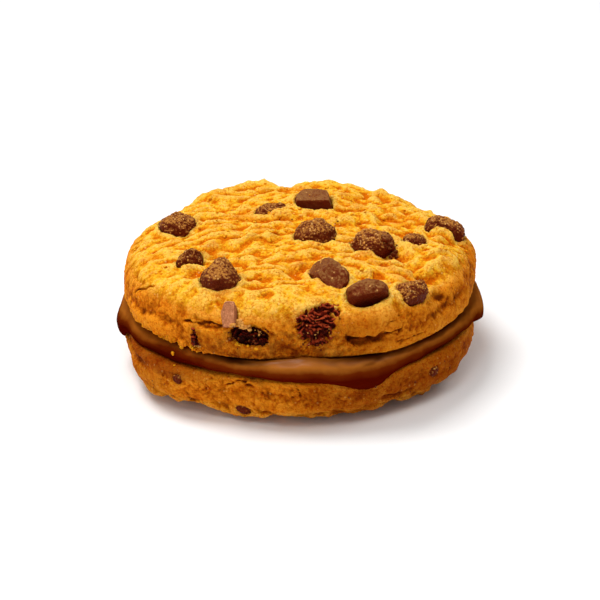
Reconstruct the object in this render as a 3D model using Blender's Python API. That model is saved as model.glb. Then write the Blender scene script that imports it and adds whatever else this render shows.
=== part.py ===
"""A chocolate chip cookie sandwich at its real size, in metres, with +Z up.

Two wire-cut cookies lie base to base, so the lower one is upside down, with a
layer of chocolate cream between them that bulges out all round. The origin is
the middle of the flat that the sandwich rests on. Azimuths are in degrees from
+X, and the front of the sandwich is at 270.
"""

import math
from dataclasses import dataclass, replace

import bmesh
import bpy
import numpy
from mathutils import Matrix, Vector, noise

MM = 0.001

# Driving sizes of the sandwich
TOP_RADIUS = 36.0 * MM
TOP_THICKNESS = 12.3 * MM
BOTTOM_RADIUS = 36.4 * MM
BOTTOM_THICKNESS = 10.7 * MM
BOTTOM_SHIFT = Vector((-0.36, -0.72, 0.0)) * MM
CREAM_THICKNESS = 3.6 * MM
CREAM_REACH = 36.9 * MM
GAP = 0.3 * MM

# Level of the top cookie's base
TOP_BASE = BOTTOM_THICKNESS + CREAM_THICKNESS

# Section of a cookie: a flat crown, a full shoulder and a base tucked in below
WAIST_SHARE = 0.224
CROWN_SQUARENESS = 10.0
SHOULDER_ROUNDNESS = 2.7
BASE_SQUARENESS = 80.0
TUCK_ROUNDNESS = 2.2
SECTION_STEP = 0.0015

# Where the relief begins: above the calm base, and from side to crown by the slope
BASE_CALM = 1.6 * MM
BASE_CALM_START = 0.35
CROWN_STARTS = 0.25
CROWN_FULL = 0.85

# Torn ridges that the wire leaves across the crown
RIDGE_PITCH = 4.4 * MM
RIDGE_HEIGHT = 1.0 * MM
RIDGE_BEND = 11.0
RIDGE_STEEP_SHARE = 0.42
RIDGE_FLOOR = 0.4
RIDGE_WANDER = 2.0 * MM
RIDGE_WANDER_SIZE = 8.0 * MM
RIDGE_JOG = 1.5 * MM
RIDGE_JOG_SIZE = 3.6 * MM
RIDGE_STRENGTH = 0.5
RIDGE_STRENGTH_SPREAD = 1.1
RIDGE_STRENGTH_SIZE = 5.5 * MM
RIDGE_LEAST = 0.05

# Calm shoulder at the front, where the ridges and clods fade
CALM_REACH = (28.0 * MM, 34.0 * MM)
CALM_FRONT = (-2.0 * MM, -12.0 * MM)
CALM_SHARE = 0.75

# Lumps and clods of the crown, and the calmer side
LUMP_SIZE = 7.5 * MM
LUMP_HEIGHT = 1.0 * MM
CLOD_SIZE = 2.8 * MM
CLOD_HEIGHT = 0.75 * MM
SIDE_LUMP_SIZE = 6.0 * MM
SIDE_LUMP_HEIGHT = 0.45 * MM
SIDE_GRAIN_SIZE = 2.2 * MM
SIDE_GRAIN_HEIGHT = 0.22 * MM
OUTLINE_WAVE = 0.5 * MM
OUTLINE_WAVES = 2.1
CROWN_LEVEL = -0.25 * MM
LAYER_STEP = 7.3

# Lip of dough round a chip
LIP_WIDTH = 1.3 * MM
LIP_HEIGHT = 0.45 * MM
LIP_SHARE = 0.6
LIP_SPREAD = 0.8
LIP_ROUGHNESS_SIZE = 2.5 * MM
LIP_LAYER = 9

# Flat that the sandwich rests on, where the crags of the lower crown are level
REST_RISE = 2.4
REST_REACH = 7.0
TRIM_WIDTH = 100.0 * MM
TRIM_DEPTH = 10.0 * MM

# Fineness of the solids: shares of the triangles that stay
TOP_KEEP = 0.15
BOTTOM_KEEP = 0.076
CREAM_KEEP = 0.055
CHIP_KEEP = 0.36
POCKET_KEEP = 0.25
COOKIE_FINENESS = 6
FINE_CHIP_FINENESS = 3
CHIP_FINENESS = 2
FINE_POCKET_GAP = 1.7 * GAP
POCKET_GAP = 1.25 * GAP

# Forms of chips
DROP_WIDTH = 1.08
DROP_TAPER = 0.5
CHUNK_SHARE = 0.9
CHUNK_POWER = 0.62
SHARD_TAPER = 0.35
SHARD_POWER = 0.8
DOME_POWER = 0.85

# Chips: their uneven skin, and those of the lower crown, spread evenly
CHIP_FLAT = 0.75
CHIP_WAVE = 0.12
CHIP_WAVES = 1.9
UNDER_CHIPS = 7
UNDER_CHIP_SPREAD = 29.0
UNDER_CHIP_LIFT = 0.15 * MM
UNDER_CHIP_SIZES = ((3.4, 4.3), (3.2, 4.1), (2.5, 3.1))
GOLDEN_TURN = 137.508
SEED = 11

# Layers of noise for each set of chips
CROWN_LAYER = 1.0
FRONT_LAYER = 60.0
BACK_LAYER = 90.0
LOW_LAYER = 120.0
UNDER_LAYER = 180.0
CHIP_LAYER_STEP = 3.7


@dataclass(frozen=True)
class Chip:
    """A chocolate chip: its form, and its place, half sizes and turns in millimetres and degrees."""

    name: str
    form: str
    place: tuple
    size: tuple
    turn: tuple = (0.0, 0.0, 0.0)


@dataclass(frozen=True)
class Dent:
    """A round or oval hollow of the crown, or a rise where its depth is negative, in millimetres."""

    x: float
    y: float
    length: float
    width: float
    depth: float
    turn: float = 0.0


@dataclass(frozen=True)
class SideMark:
    """A hollow or a raised slab of a side, with its edges' sharpness: degrees and millimetres."""

    azimuth: float
    height: float
    half_turn: float
    half_height: float
    depth: float
    sharpness: float = 4.0


@dataclass(frozen=True)
class Plan:
    """The outline of a cookie from above: its radius in metres, its lobes and its layer of noise."""

    radius: float
    lobes: tuple
    layer: float


# Chips of the crown: place is x, y and how far the middle lies above the crown
CROWN_CHIPS = (
    Chip("chip_crown_01", "dome", (-25.2, 5.9, -0.5), (3.9, 3.7, 2.8), (0.0, 0.0, 15.0)),
    Chip("chip_crown_02", "dome", (-5.7, 12.5, -0.7), (4.1, 1.9, 2.0), (0.0, 0.0, 30.0)),
    Chip("chip_crown_03", "chunk", (3.4, 16.2, -0.3), (4.6, 4.5, 3.1), (0.0, 0.0, -4.0)),
    Chip("chip_crown_04", "dome", (3.2, -1.9, -0.3), (4.3, 4.3, 3.2), (0.0, 0.0, 0.0)),
    Chip("chip_crown_05", "chunk", (30.2, 1.8, -0.6), (4.6, 2.7, 2.5), (0.0, 18.0, -8.0)),
    Chip("chip_crown_06", "dome", (14.8, -8.1, -0.3), (4.3, 4.1, 3.3), (0.0, 0.0, -20.0)),
    Chip("chip_crown_07", "dome", (22.9, -6.7, -0.7), (2.6, 2.1, 2.3), (0.0, 0.0, 10.0)),
    Chip("chip_crown_08", "shard", (-21.9, -12.1, -0.6), (4.2, 2.2, 2.4), (0.0, 0.0, 52.0)),
    Chip("chip_crown_09", "drop", (-15.4, -22.7, -0.2), (3.9, 5.2, 4.5), (-30.0, 6.0, 0.0)),
    Chip("chip_crown_10", "dome", (5.5, -22.1, -0.4), (5.6, 3.1, 3.1), (0.0, 0.0, -60.0)),
    Chip("chip_crown_11", "dome", (12.7, -29.4, -0.1), (4.2, 2.9, 2.8), (18.0, 0.0, 14.0)),
    Chip("chip_crown_12", "dome", (21.1, -26.4, -0.5), (3.8, 2.6, 2.4), (22.0, 0.0, 38.0)),
)

# Chips of a side: place is the azimuth, the height and how far the middle lies out of the side
FRONT_CHIPS = (
    Chip("chip_front_01", "dome", (275.2, 20.4, -3.6), (4.2, 5.6, 4.4)),
    Chip("chip_front_02", "chunk", (247.6, 23.2, -0.9), (1.1, 1.7, 2.9), (9.0, -26.0, 0.0)),
    Chip("chip_front_03", "shard", (235.9, 17.6, -0.8), (1.3, 0.9, 2.2)),
    Chip("chip_front_04", "dome", (253.4, 18.4, -3.2), (2.6, 4.4, 2.3), (-16.0, 0.0, 0.0)),
)

BACK_CHIPS = (
    Chip("chip_back_01", "dome", (52.0, 18.6, -1.4), (2.4, 3.6, 3.0)),
    Chip("chip_back_02", "chunk", (101.0, 19.6, -1.6), (2.7, 3.9, 3.4)),
    Chip("chip_back_03", "dome", (147.0, 18.8, -1.4), (2.3, 3.2, 3.1)),
    Chip("chip_back_04", "shard", (12.0, 18.6, -1.0), (1.8, 2.6, 2.4)),
)

BOTTOM_SIDE_CHIPS = (
    Chip("chip_low_01", "dome", (230.0, 8.5, -1.9), (2.2, 1.7, 1.4)),
    Chip("chip_low_02", "dome", (251.0, 3.7, -2.3), (2.1, 1.9, 1.5)),
    Chip("chip_low_03", "dome", (314.0, 7.6, -1.7), (2.2, 1.9, 1.6)),
    Chip("chip_low_04", "chunk", (35.0, 6.2, -1.5), (2.6, 3.6, 2.7)),
    Chip("chip_low_05", "dome", (88.0, 5.4, -1.4), (2.4, 3.4, 2.8)),
    Chip("chip_low_06", "chunk", (146.0, 6.4, -1.5), (2.5, 3.2, 2.6)),
)

# Hollows and rises of the crown
CROWN_DENTS = (
    Dent(-3.2, 32.8, 1.6, 3.4, 1.6),
    Dent(4.6, 32.0, 5.0, 4.0, -0.9),
    Dent(-18.5, 27.0, 7.0, 4.0, -1.0, 30.0),
    Dent(-9.0, 32.0, 4.0, 3.0, -0.8),
    Dent(-23.5, 26.0, 2.2, 3.0, -1.1),
    Dent(-30.0, 17.5, 7.0, 4.5, 1.8, 60.0),
    Dent(19.5, 29.0, 3.5, 3.0, 0.5),
    Dent(25.0, 26.0, 3.0, 3.0, -1.2),
    Dent(27.5, 21.0, 10.0, 6.0, 1.5, -44.0),
    Dent(-15.5, -9.6, 4.6, 2.4, 1.2),
    Dent(-20.6, -17.6, 2.6, 3.4, 1.1),
    Dent(-0.8, -19.4, 2.2, 4.0, 1.4),
    Dent(18.6, -12.0, 1.8, 2.8, 1.9, -30.0),
    Dent(26.6, -19.4, 6.0, 2.4, 2.4, 40.0),
    Dent(-4.0, -30.0, 9.0, 4.0, -0.6),
    Dent(15.0, -19.0, 5.0, 4.0, -0.7),
    Dent(14.0, 20.0, 5.0, 3.0, 0.8),
)

# Sharpness of the ends of a side's hollows and slabs
MARK_END_SHARPNESS = 4

# Cracks, a cavity and a raised slab of the top cookie's side
TOP_SIDE_MARKS = (
    SideMark(253.0, 19.5, 7.4, 1.9, 2.6),
    SideMark(241.5, 21.0, 7.0, 0.8, 0.8),
    SideMark(291.5, 22.2, 9.5, 3.3, -1.5, 9.0),
    SideMark(289.5, 17.9, 6.0, 0.8, 1.1),
    SideMark(213.0, 16.7, 14.0, 1.9, -1.0),
    SideMark(322.0, 16.7, 17.0, 1.9, -1.0),
    SideMark(203.0, 23.6, 5.0, 0.9, 0.7),
    SideMark(318.0, 21.8, 5.0, 1.2, 0.7),
    SideMark(70.0, 19.5, 9.0, 1.0, 0.8),
    SideMark(125.0, 21.5, 8.0, 1.0, 0.8),
    SideMark(165.0, 20.0, 7.0, 0.9, 0.7),
)

BOTTOM_SIDE_MARKS = (
    SideMark(200.0, 9.4, 20.0, 1.8, 0.9),
    SideMark(253.0, 10.2, 2.2, 0.9, 0.9),
    SideMark(262.0, 7.4, 6.0, 0.8, 0.25),
    SideMark(300.0, 5.0, 7.0, 0.9, 0.6),
    SideMark(60.0, 6.0, 8.0, 0.9, 0.7),
    SideMark(155.0, 6.8, 7.0, 0.9, 0.7),
)

# Lobes of the cookies' outlines: azimuth and half width in degrees, and reach in millimetres
TOP_LOBES = (
    (190.0, 13.0, 0.5),
    (213.0, 11.0, 0.7),
    (239.0, 11.0, 0.7),
    (267.0, 13.0, -1.0),
    (300.0, 12.0, 0.9),
    (340.0, 12.0, -0.3),
    (2.0, 6.0, 0.5),
    (60.0, 20.0, -0.2),
    (120.0, 18.0, 0.3),
)
BOTTOM_LOBES = (
    (215.0, 13.0, 2.1),
    (229.0, 9.0, 0.8),
    (248.0, 10.0, -1.05),
    (284.0, 9.0, 0.4),
    (302.0, 12.0, 0.9),
    (322.0, 14.0, 1.0),
    (100.0, 20.0, -0.4),
    (40.0, 16.0, 0.4),
)

TOP_PLAN = Plan(TOP_RADIUS, TOP_LOBES, 0.0)
TURNED_LOBES = tuple((-lobe[0], lobe[1], lobe[2]) for lobe in BOTTOM_LOBES)
BOTTOM_PLAN = Plan(BOTTOM_RADIUS, TURNED_LOBES, 20.0)

# Lobes of the cream: azimuth and half width in degrees, and reach, rise, sag and drop in millimetres
CREAM_LOBES = (
    (188.0, 9.0, 1.6, -0.6, 2.7, 2.6),
    (208.0, 12.0, 0.6, 0.0, 1.6, 0.5),
    (246.0, 14.0, 0.2, -0.2, -1.4, 0.5),
    (270.0, 11.0, 0.6, 1.0, 0.5, 0.0),
    (289.0, 11.0, 1.5, 0.0, 2.8, 2.0),
    (328.0, 13.0, 0.2, 0.3, -0.7, -0.1),
    (352.0, 9.0, 1.2, -0.3, 0.9, 2.2),
    (40.0, 18.0, 0.9, 0.2, 0.4, 0.3),
    (85.0, 14.0, 0.2, 0.0, -0.3, 0.0),
    (128.0, 16.0, 1.2, 0.1, 0.6, 0.4),
)
CREAM_RISE = 2.1 * MM
CREAM_SAG = 2.6 * MM
CREAM_SQUARENESS = 26.0
CREAM_ROUNDNESS = 2.0
CREAM_WAVE = 0.25 * MM
CREAM_WAVES = 4.0
CREAM_LAYER = 3.1
CREAM_RIM_FOCUS = 1.35
CREAM_RIM_PART = 0.16
CREAM_RIM_DEPTH = 0.06
CREAM_GAP = 1.15 * GAP

# Looks: colour, roughness
CRUST_COLOUR = (0.70, 0.35, 0.085, 1.0)
CRUST_ROUGHNESS = 0.85
CREAM_COLOUR = (0.115, 0.035, 0.012, 1.0)
CREAM_ROUGHNESS = 0.35
CHIP_COLOUR = (0.055, 0.026, 0.014, 1.0)
CHIP_ROUGHNESS = 0.6


def smooth_step(low, high, value):
    """Returns 0 below low, 1 above high and a smooth rise between them."""
    share = min(max((value - low) / (high - low), 0.0), 1.0)
    return share * share * (3.0 - 2.0 * share)


def grain(x, y, z, size, layer):
    """Returns smooth noise from about -1 to 1 whose blobs have the given size."""
    return noise.noise(Vector((x, y, z)) / size + Vector((0.0, 0.0, LAYER_STEP * layer)))


def turn_between(first, second):
    """Returns the turn in degrees from one azimuth to the other, from -180 to 180."""
    return (first - second + 180.0) % 360.0 - 180.0


def cookie_section(radius, thickness, steps=600):
    """Returns the section's radii, heights and distances, from the crown's middle to the base's."""
    waist = WAIST_SHARE * thickness
    swing = numpy.linspace(0.0, math.pi / 2.0, steps)
    crown_r = radius * numpy.sin(swing) ** (2.0 / CROWN_SQUARENESS)
    crown_z = waist + (thickness - waist) * numpy.cos(swing) ** (2.0 / SHOULDER_ROUNDNESS)
    base_r = radius * numpy.cos(swing) ** (2.0 / BASE_SQUARENESS)
    base_z = waist - waist * numpy.sin(swing) ** (2.0 / TUCK_ROUNDNESS)
    radii = numpy.concatenate([[0.0], crown_r[1:], base_r[1:-1], [0.0]])
    heights = numpy.concatenate([[thickness], crown_z[1:], base_z[1:-1], [0.0]])
    steps_along = numpy.hypot(numpy.diff(radii), numpy.diff(heights))
    return radii, heights, numpy.concatenate([[0.0], numpy.cumsum(steps_along)])


def crown_height(radius, thickness, distance):
    """Returns the height of the smooth crown at a distance from the cookie's axis."""
    waist = WAIST_SHARE * thickness
    share = min(distance / radius, 1.0) ** CROWN_SQUARENESS
    return waist + (thickness - waist) * (1.0 - share) ** (1.0 / SHOULDER_ROUNDNESS)


def base_height(radius, thickness, distance):
    """Returns the height of the smooth base at a distance from the cookie's axis."""
    waist = WAIST_SHARE * thickness
    share = min(distance / radius, 1.0) ** BASE_SQUARENESS
    return waist - waist * (1.0 - share) ** (1.0 / TUCK_ROUNDNESS)


def lobe_sum(degrees, lobes, column):
    """Returns the sum of some lobes at an azimuth, in metres."""
    total = 0.0
    for lobe in lobes:
        total += lobe[column] * math.exp(-((turn_between(degrees, lobe[0]) / lobe[1]) ** 2))
    return total * MM


def plan_radius(x, y, plan):
    """Returns the reach of a cookie's outline in the direction of a point."""
    azimuth = math.atan2(y, x)
    turn = OUTLINE_WAVES * Vector((math.cos(azimuth), math.sin(azimuth), 0.0))
    wave = noise.noise(turn + Vector((0.0, 0.0, plan.layer)))
    return plan.radius + lobe_sum(math.degrees(azimuth), plan.lobes, 2) + OUTLINE_WAVE * wave


def ridge_relief(x, y, layer):
    """Returns the height of the torn ridges at a point of the crown."""
    wander = RIDGE_WANDER * grain(x, y, 0.0, RIDGE_WANDER_SIZE, layer)
    wander += RIDGE_JOG * grain(x, y, 0.0, RIDGE_JOG_SIZE, layer + 6)
    phase = (y + RIDGE_BEND * x * x + wander) / RIDGE_PITCH
    along = phase - math.floor(phase)
    climb = smooth_step(0.0, RIDGE_STEEP_SHARE, along)
    fall = smooth_step(RIDGE_STEEP_SHARE, 1.0, along)
    spread = grain(x, y, 0.0, RIDGE_STRENGTH_SIZE, layer + 1)
    strength = max(RIDGE_STRENGTH + RIDGE_STRENGTH_SPREAD * spread, RIDGE_LEAST)
    return RIDGE_HEIGHT * strength * (climb - fall - RIDGE_FLOOR)


def crown_relief(x, y, layer):
    """Returns the relief of the crown at a point: ridges, lumps and clods."""
    lumps = LUMP_HEIGHT * grain(x, y, 0.0, LUMP_SIZE, layer + 2)
    clods = CLOD_HEIGHT * grain(x, y, 0.0, CLOD_SIZE, layer + 3)
    calm = smooth_step(*CALM_REACH, math.hypot(x, y)) * smooth_step(*CALM_FRONT, y)
    torn = 1.0 - CALM_SHARE * calm
    return CROWN_LEVEL + lumps + torn * (ridge_relief(x, y, layer) + clods)


def side_relief(x, y, z, layer):
    """Returns the relief of the calmer side at a point."""
    lumps = SIDE_LUMP_HEIGHT * grain(x, y, z, SIDE_LUMP_SIZE, layer + 4)
    grains = SIDE_GRAIN_HEIGHT * grain(x, y, z, SIDE_GRAIN_SIZE, layer + 5)
    return lumps + grains


def dent_relief(x, y, dents):
    """Returns the relief of the crown's named hollows and rises at a point."""
    total = 0.0
    for dent in dents:
        across = Vector((x / MM - dent.x, y / MM - dent.y))
        turn = math.radians(dent.turn)
        along = across.x * math.cos(turn) + across.y * math.sin(turn)
        aside = across.y * math.cos(turn) - across.x * math.sin(turn)
        reach = (along / dent.length) ** 2 + (aside / dent.width) ** 2
        total -= dent.depth * MM * math.exp(-reach)
    return total


def mark_relief(x, y, z, marks):
    """Returns the relief of a side's named hollows and slabs at a point."""
    total = 0.0
    azimuth = math.degrees(math.atan2(y, x))
    for mark in marks:
        along = turn_between(azimuth, mark.azimuth) / mark.half_turn
        rise = abs(z / MM - mark.height) / mark.half_height
        total -= mark.depth * MM * math.exp(-(along ** MARK_END_SHARPNESS) - rise ** mark.sharpness)
    return total


def lip_relief(point, chips):
    """Returns the rise of the dough round the chips at a point."""
    highest = 0.0
    for chip in chips:
        across = math.hypot(point.x / MM - chip.place[0], point.y / MM - chip.place[1])
        outside = (across - 0.5 * (chip.size[0] + chip.size[1])) * MM
        rough = LIP_SHARE + LIP_SPREAD * grain(point.x, point.y, 0.0, LIP_ROUGHNESS_SIZE, LIP_LAYER)
        highest = max(highest, rough * LIP_HEIGHT * math.exp(-((outside / LIP_WIDTH) ** 2)))
    return highest


def new_object(name, mesh_maker, collection, material=None):
    """Links an object whose mesh the maker fills, and returns it."""
    mesh = bpy.data.meshes.new(name)
    shape = bmesh.new()
    mesh_maker(shape)
    bmesh.ops.recalc_face_normals(shape, faces=shape.faces)
    shape.to_mesh(mesh)
    shape.free()
    mesh.shade_smooth()
    made = bpy.data.objects.new(name, mesh)
    collection.objects.link(made)
    if material is not None:
        mesh.materials.append(material)
    return made


def shape_cookie(shape, plan, thickness, dents, marks, chips, floor):
    """Fills a mesh with a cookie, crown up, its base at height 0 and its axis on Z.

    The plan holds the radius, the outline's lobes and the layer of noise. The
    marks' heights are counted from the level that floor gives.
    """
    radii, heights, distances = cookie_section(plan.radius, thickness)
    bmesh.ops.create_icosphere(shape, subdivisions=COOKIE_FINENESS, radius=1.0)
    step = SECTION_STEP * distances[-1]
    for vertex in shape.verts:
        swing = math.acos(max(-1.0, min(1.0, vertex.co.z)))
        azimuth = math.atan2(vertex.co.y, vertex.co.x)
        along = distances[-1] * swing / math.pi
        across = numpy.interp([along - step, along, along + step], distances, radii)
        height = numpy.interp([along - step, along, along + step], distances, heights)
        tangent = Vector((across[2] - across[0], height[2] - height[0])).normalized()
        outward = Vector((-tangent.y, tangent.x))
        reach = plan_radius(math.cos(azimuth), math.sin(azimuth), plan) * across[1] / plan.radius
        x = reach * math.cos(azimuth)
        y = reach * math.sin(azimuth)
        crown_share = smooth_step(CROWN_STARTS, CROWN_FULL, outward.y)
        calm = smooth_step(BASE_CALM_START * BASE_CALM, BASE_CALM, height[1])
        side = side_relief(x, y, height[1], plan.layer) + mark_relief(x, y, height[1] + floor, marks)
        crown = 0.0
        if outward.y > 0.0:
            crown = crown_relief(x, y, plan.layer) + dent_relief(x, y, dents)
            crown += lip_relief(Vector((x, y)), chips)
        push = calm * (crown_share * crown + (1.0 - crown_share) * side)
        x += math.cos(azimuth) * outward.x * push
        y += math.sin(azimuth) * outward.x * push
        vertex.co = Vector((x, y, height[1] + outward.y * push))


def rim_share(from_rim):
    """Returns the share of the cream's reach for a share of the way from its rim to its middle."""
    if from_rim > CREAM_RIM_PART:
        return (1.0 - CREAM_RIM_DEPTH) * (1.0 - from_rim) / (1.0 - CREAM_RIM_PART)
    return 1.0 - CREAM_RIM_DEPTH * (1.0 - math.cos(0.5 * math.pi * from_rim / CREAM_RIM_PART))


def cream_height(x, y, middle, half_height, above):
    """Returns the height of the cream's face, kept clear of the cookie that it meets."""
    if above:
        across = math.hypot(x, y)
        edge = plan_radius(x, y, TOP_PLAN) + GAP
        roof = TOP_BASE + base_height(edge, TOP_THICKNESS, across) - CREAM_GAP
        return min(middle + half_height, roof) if across < edge else middle + half_height
    across = math.hypot(x - BOTTOM_SHIFT.x, y - BOTTOM_SHIFT.y)
    edge = plan_radius(x - BOTTOM_SHIFT.x, BOTTOM_SHIFT.y - y, BOTTOM_PLAN) + GAP
    floor = BOTTOM_THICKNESS - base_height(edge, BOTTOM_THICKNESS, across) + CREAM_GAP
    return max(middle - half_height, floor) if across < edge else middle - half_height


def cream_rim(azimuth):
    """Returns the cream's reach, rise, sag and drop at an azimuth in radians."""
    degrees = math.degrees(azimuth)
    turn = CREAM_WAVES * Vector((math.cos(azimuth), math.sin(azimuth), 0.0))
    wave = CREAM_WAVE * noise.noise(turn + Vector((0.0, 0.0, CREAM_LAYER)))
    reach = CREAM_REACH + wave + lobe_sum(degrees, CREAM_LOBES, 2)
    rise = CREAM_RISE + lobe_sum(degrees, CREAM_LOBES, 3)
    sag = CREAM_SAG + lobe_sum(degrees, CREAM_LOBES, 4)
    return reach, rise, sag, lobe_sum(degrees, CREAM_LOBES, 5)


def shape_cream(shape):
    """Fills a mesh with the cream, held between the two cookies and bulging out of them."""
    bmesh.ops.create_icosphere(shape, subdivisions=COOKIE_FINENESS, radius=1.0)
    for vertex in shape.verts:
        azimuth = math.atan2(vertex.co.y, vertex.co.x)
        reach, rise, sag, drop = cream_rim(azimuth)
        above = vertex.co.z > 0.0
        from_rim = 1.0 - 2.0 * math.acos(min(1.0, abs(vertex.co.z))) / math.pi
        share = rim_share(from_rim ** CREAM_RIM_FOCUS)
        depth = (1.0 - share ** CREAM_SQUARENESS) ** (1.0 / CREAM_ROUNDNESS)
        x = reach * share * math.cos(azimuth)
        y = reach * share * math.sin(azimuth)
        middle = BOTTOM_THICKNESS + CREAM_THICKNESS / 2.0 - drop * share ** CREAM_SQUARENESS
        half_height = (rise if above else sag) * depth
        vertex.co = Vector((x, y, cream_height(x, y, middle, half_height, above)))


def squared(value, power):
    """Returns a share of a half size, nearer to the full size where the power is below 1."""
    return math.copysign(abs(value) ** power, value)


def form_point(form, point):
    """Returns a point of a chip's form for a point of the unit sphere."""
    x, y, z = point
    if form == "drop":
        taper = DROP_WIDTH * (1.0 - DROP_TAPER * smooth_step(-0.2, 1.0, z))
        return Vector((x * taper, y * taper, z))
    if form == "chunk":
        return CHUNK_SHARE * Vector([squared(value, CHUNK_POWER) for value in (x, y, z)])
    if form == "shard":
        taper = 1.0 - SHARD_TAPER * smooth_step(-1.0, 1.0, z)
        return Vector((x * taper, y * taper, squared(z, SHARD_POWER)))
    return Vector((x, y, squared(z, DOME_POWER)))


def shape_chip(shape, chip, place, layer, fineness, grow):
    """Fills a mesh with a chip at its place, grown outwards by the given distance."""
    bmesh.ops.create_icosphere(shape, subdivisions=fineness, radius=1.0)
    size = Vector(chip.size) * MM
    for vertex in shape.verts:
        rough = 1.0 + CHIP_WAVE * noise.noise(CHIP_WAVES * vertex.co + Vector((layer, 0.0, 0.0)))
        formed = form_point(chip.form, vertex.co) * rough
        formed.z = max(formed.z, -CHIP_FLAT)
        vertex.co = Vector((formed.x * size.x, formed.y * size.y, formed.z * size.z))
    shape.normal_update()
    moves = [vertex.normal * grow for vertex in shape.verts]
    for vertex, move in zip(shape.verts, moves):
        vertex.co += move
    turn = Matrix.Identity(4)
    for degrees, axis in zip(chip.turn, "XYZ"):
        turn = Matrix.Rotation(math.radians(degrees), 4, axis) @ turn
    middle, facing = place
    bmesh.ops.transform(shape, matrix=Matrix.Translation(middle) @ facing @ turn, verts=shape.verts)


def crown_place(chip):
    """Returns the middle and the base turn of a chip of the top cookie's crown."""
    x, y, rise = chip.place
    height = TOP_BASE + crown_height(TOP_RADIUS, TOP_THICKNESS, math.hypot(x, y) * MM)
    return Vector((x * MM, y * MM, height + rise * MM)), Matrix.Identity(4)


def side_place(chip, plan, shift, turned):
    """Returns the middle and the base turn of a chip of a side, of a turned-over cookie or not."""
    azimuth = math.radians(chip.place[0])
    x = math.cos(azimuth)
    y = math.sin(azimuth)
    reach = plan_radius(x, -y if turned else y, plan) + chip.place[2] * MM
    return Vector((reach * x, reach * y, chip.place[1] * MM)) + shift, Matrix.Rotation(azimuth, 4, "Z")


def top_side_place(chip):
    """Returns the middle and the base turn of a chip of the top cookie's side."""
    return side_place(chip, TOP_PLAN, Vector(), False)


def low_side_place(chip):
    """Returns the middle and the base turn of a chip of the lower cookie's side."""
    return side_place(chip, BOTTOM_PLAN, BOTTOM_SHIFT, True)


def turned_over(mark):
    """Returns a mark of the lower cookie's side as it lies before that cookie is turned over."""
    return replace(mark, azimuth=-mark.azimuth, height=BOTTOM_THICKNESS / MM - mark.height)


def under_chips():
    """Returns the chips of the lower cookie's crown, spread evenly by a turning step."""
    draws = numpy.random.default_rng(SEED)
    chips = []
    for number in range(UNDER_CHIPS):
        reach = UNDER_CHIP_SPREAD * math.sqrt((number + 1.0) / UNDER_CHIPS)
        azimuth = math.radians(GOLDEN_TURN * number)
        size = tuple(draws.uniform(low, high) for low, high in UNDER_CHIP_SIZES)
        place = (reach * math.cos(azimuth), reach * math.sin(azimuth), size[2])
        form = ("dome", "chunk")[number % 2]
        turn = (0.0, 0.0, float(draws.uniform(0.0, 360.0)))
        chips.append(Chip(f"chip_under_{number + 1:02d}", form, place, size, turn))
    return chips


def under_place(chip):
    """Returns the middle and the base turn of a chip of the lower cookie's crown."""
    x, y, half = chip.place
    lift = CHIP_FLAT * half * MM + UNDER_CHIP_LIFT
    return Vector((x * MM, y * MM, lift)) + BOTTOM_SHIFT, Matrix.Identity(4)


def add_chips(chips, place_of, parts, pockets, material, layer, fine):
    """Adds each chip, and the pocket that it sits in with a gap all round."""
    for number, chip in enumerate(chips):
        place = place_of(chip)
        seed = layer + CHIP_LAYER_STEP * number
        fineness = FINE_CHIP_FINENESS if fine else CHIP_FINENESS
        gap = FINE_POCKET_GAP if fine else POCKET_GAP

        def make_chip(shape):
            shape_chip(shape, chip, place, seed, fineness, 0.0)

        def make_pocket(shape):
            shape_chip(shape, chip, place, seed, fineness, gap)

        piece = new_object(chip.name, make_chip, parts, material)
        pocket = new_object("pocket_" + chip.name, make_pocket, pockets)
        hide_cutter(pocket)
        if fine:
            thin_out(piece, CHIP_KEEP)
            thin_out(pocket, POCKET_KEEP)


def hide_cutter(cutter):
    """Shows a cutter as wire and keeps it out of renders."""
    cutter.display_type = "WIRE"
    cutter.hide_render = True


def thin_out(piece, keep):
    """Adds a Decimate modifier that keeps the given share of the triangles."""
    decimate = piece.modifiers.new("fewer_faces", "DECIMATE")
    decimate.decimate_type = "COLLAPSE"
    decimate.ratio = keep


def cut_pockets(piece, pockets):
    """Adds a Boolean modifier that cuts every pocket of a collection out of a piece."""
    cut = piece.modifiers.new("pockets", "BOOLEAN")
    cut.operation = "DIFFERENCE"
    cut.solver = "EXACT"
    cut.operand_type = "COLLECTION"
    cut.collection = pockets


def add_material(name, colour, roughness):
    """Returns a new opaque material with a Principled shader."""
    material = bpy.data.materials.new(name)
    material.use_nodes = True
    shader = material.node_tree.nodes["Principled BSDF"]
    shader.inputs["Base Color"].default_value = colour
    shader.inputs["Roughness"].default_value = roughness
    shader.inputs["Metallic"].default_value = 0.0
    return material


def add_collection(name):
    """Returns a new collection linked to the scene."""
    collection = bpy.data.collections.new(name)
    bpy.context.scene.collection.children.link(collection)
    return collection


def build_top_cookie(parts, pockets, crust, chocolate):
    """Builds the upper cookie, crown up, with the chips of its crown and side."""

    def make(shape):
        shape_cookie(shape, TOP_PLAN, TOP_THICKNESS, CROWN_DENTS, TOP_SIDE_MARKS, CROWN_CHIPS, TOP_BASE)
        bmesh.ops.translate(shape, vec=(0.0, 0.0, TOP_BASE), verts=shape.verts)

    cookie = new_object("top_cookie", make, parts, crust)
    add_chips(CROWN_CHIPS, crown_place, parts, pockets, chocolate, CROWN_LAYER, True)
    add_chips(FRONT_CHIPS, top_side_place, parts, pockets, chocolate, FRONT_LAYER, True)
    add_chips(BACK_CHIPS, top_side_place, parts, pockets, chocolate, BACK_LAYER, False)
    thin_out(cookie, TOP_KEEP)
    cut_pockets(cookie, pockets)


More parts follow.
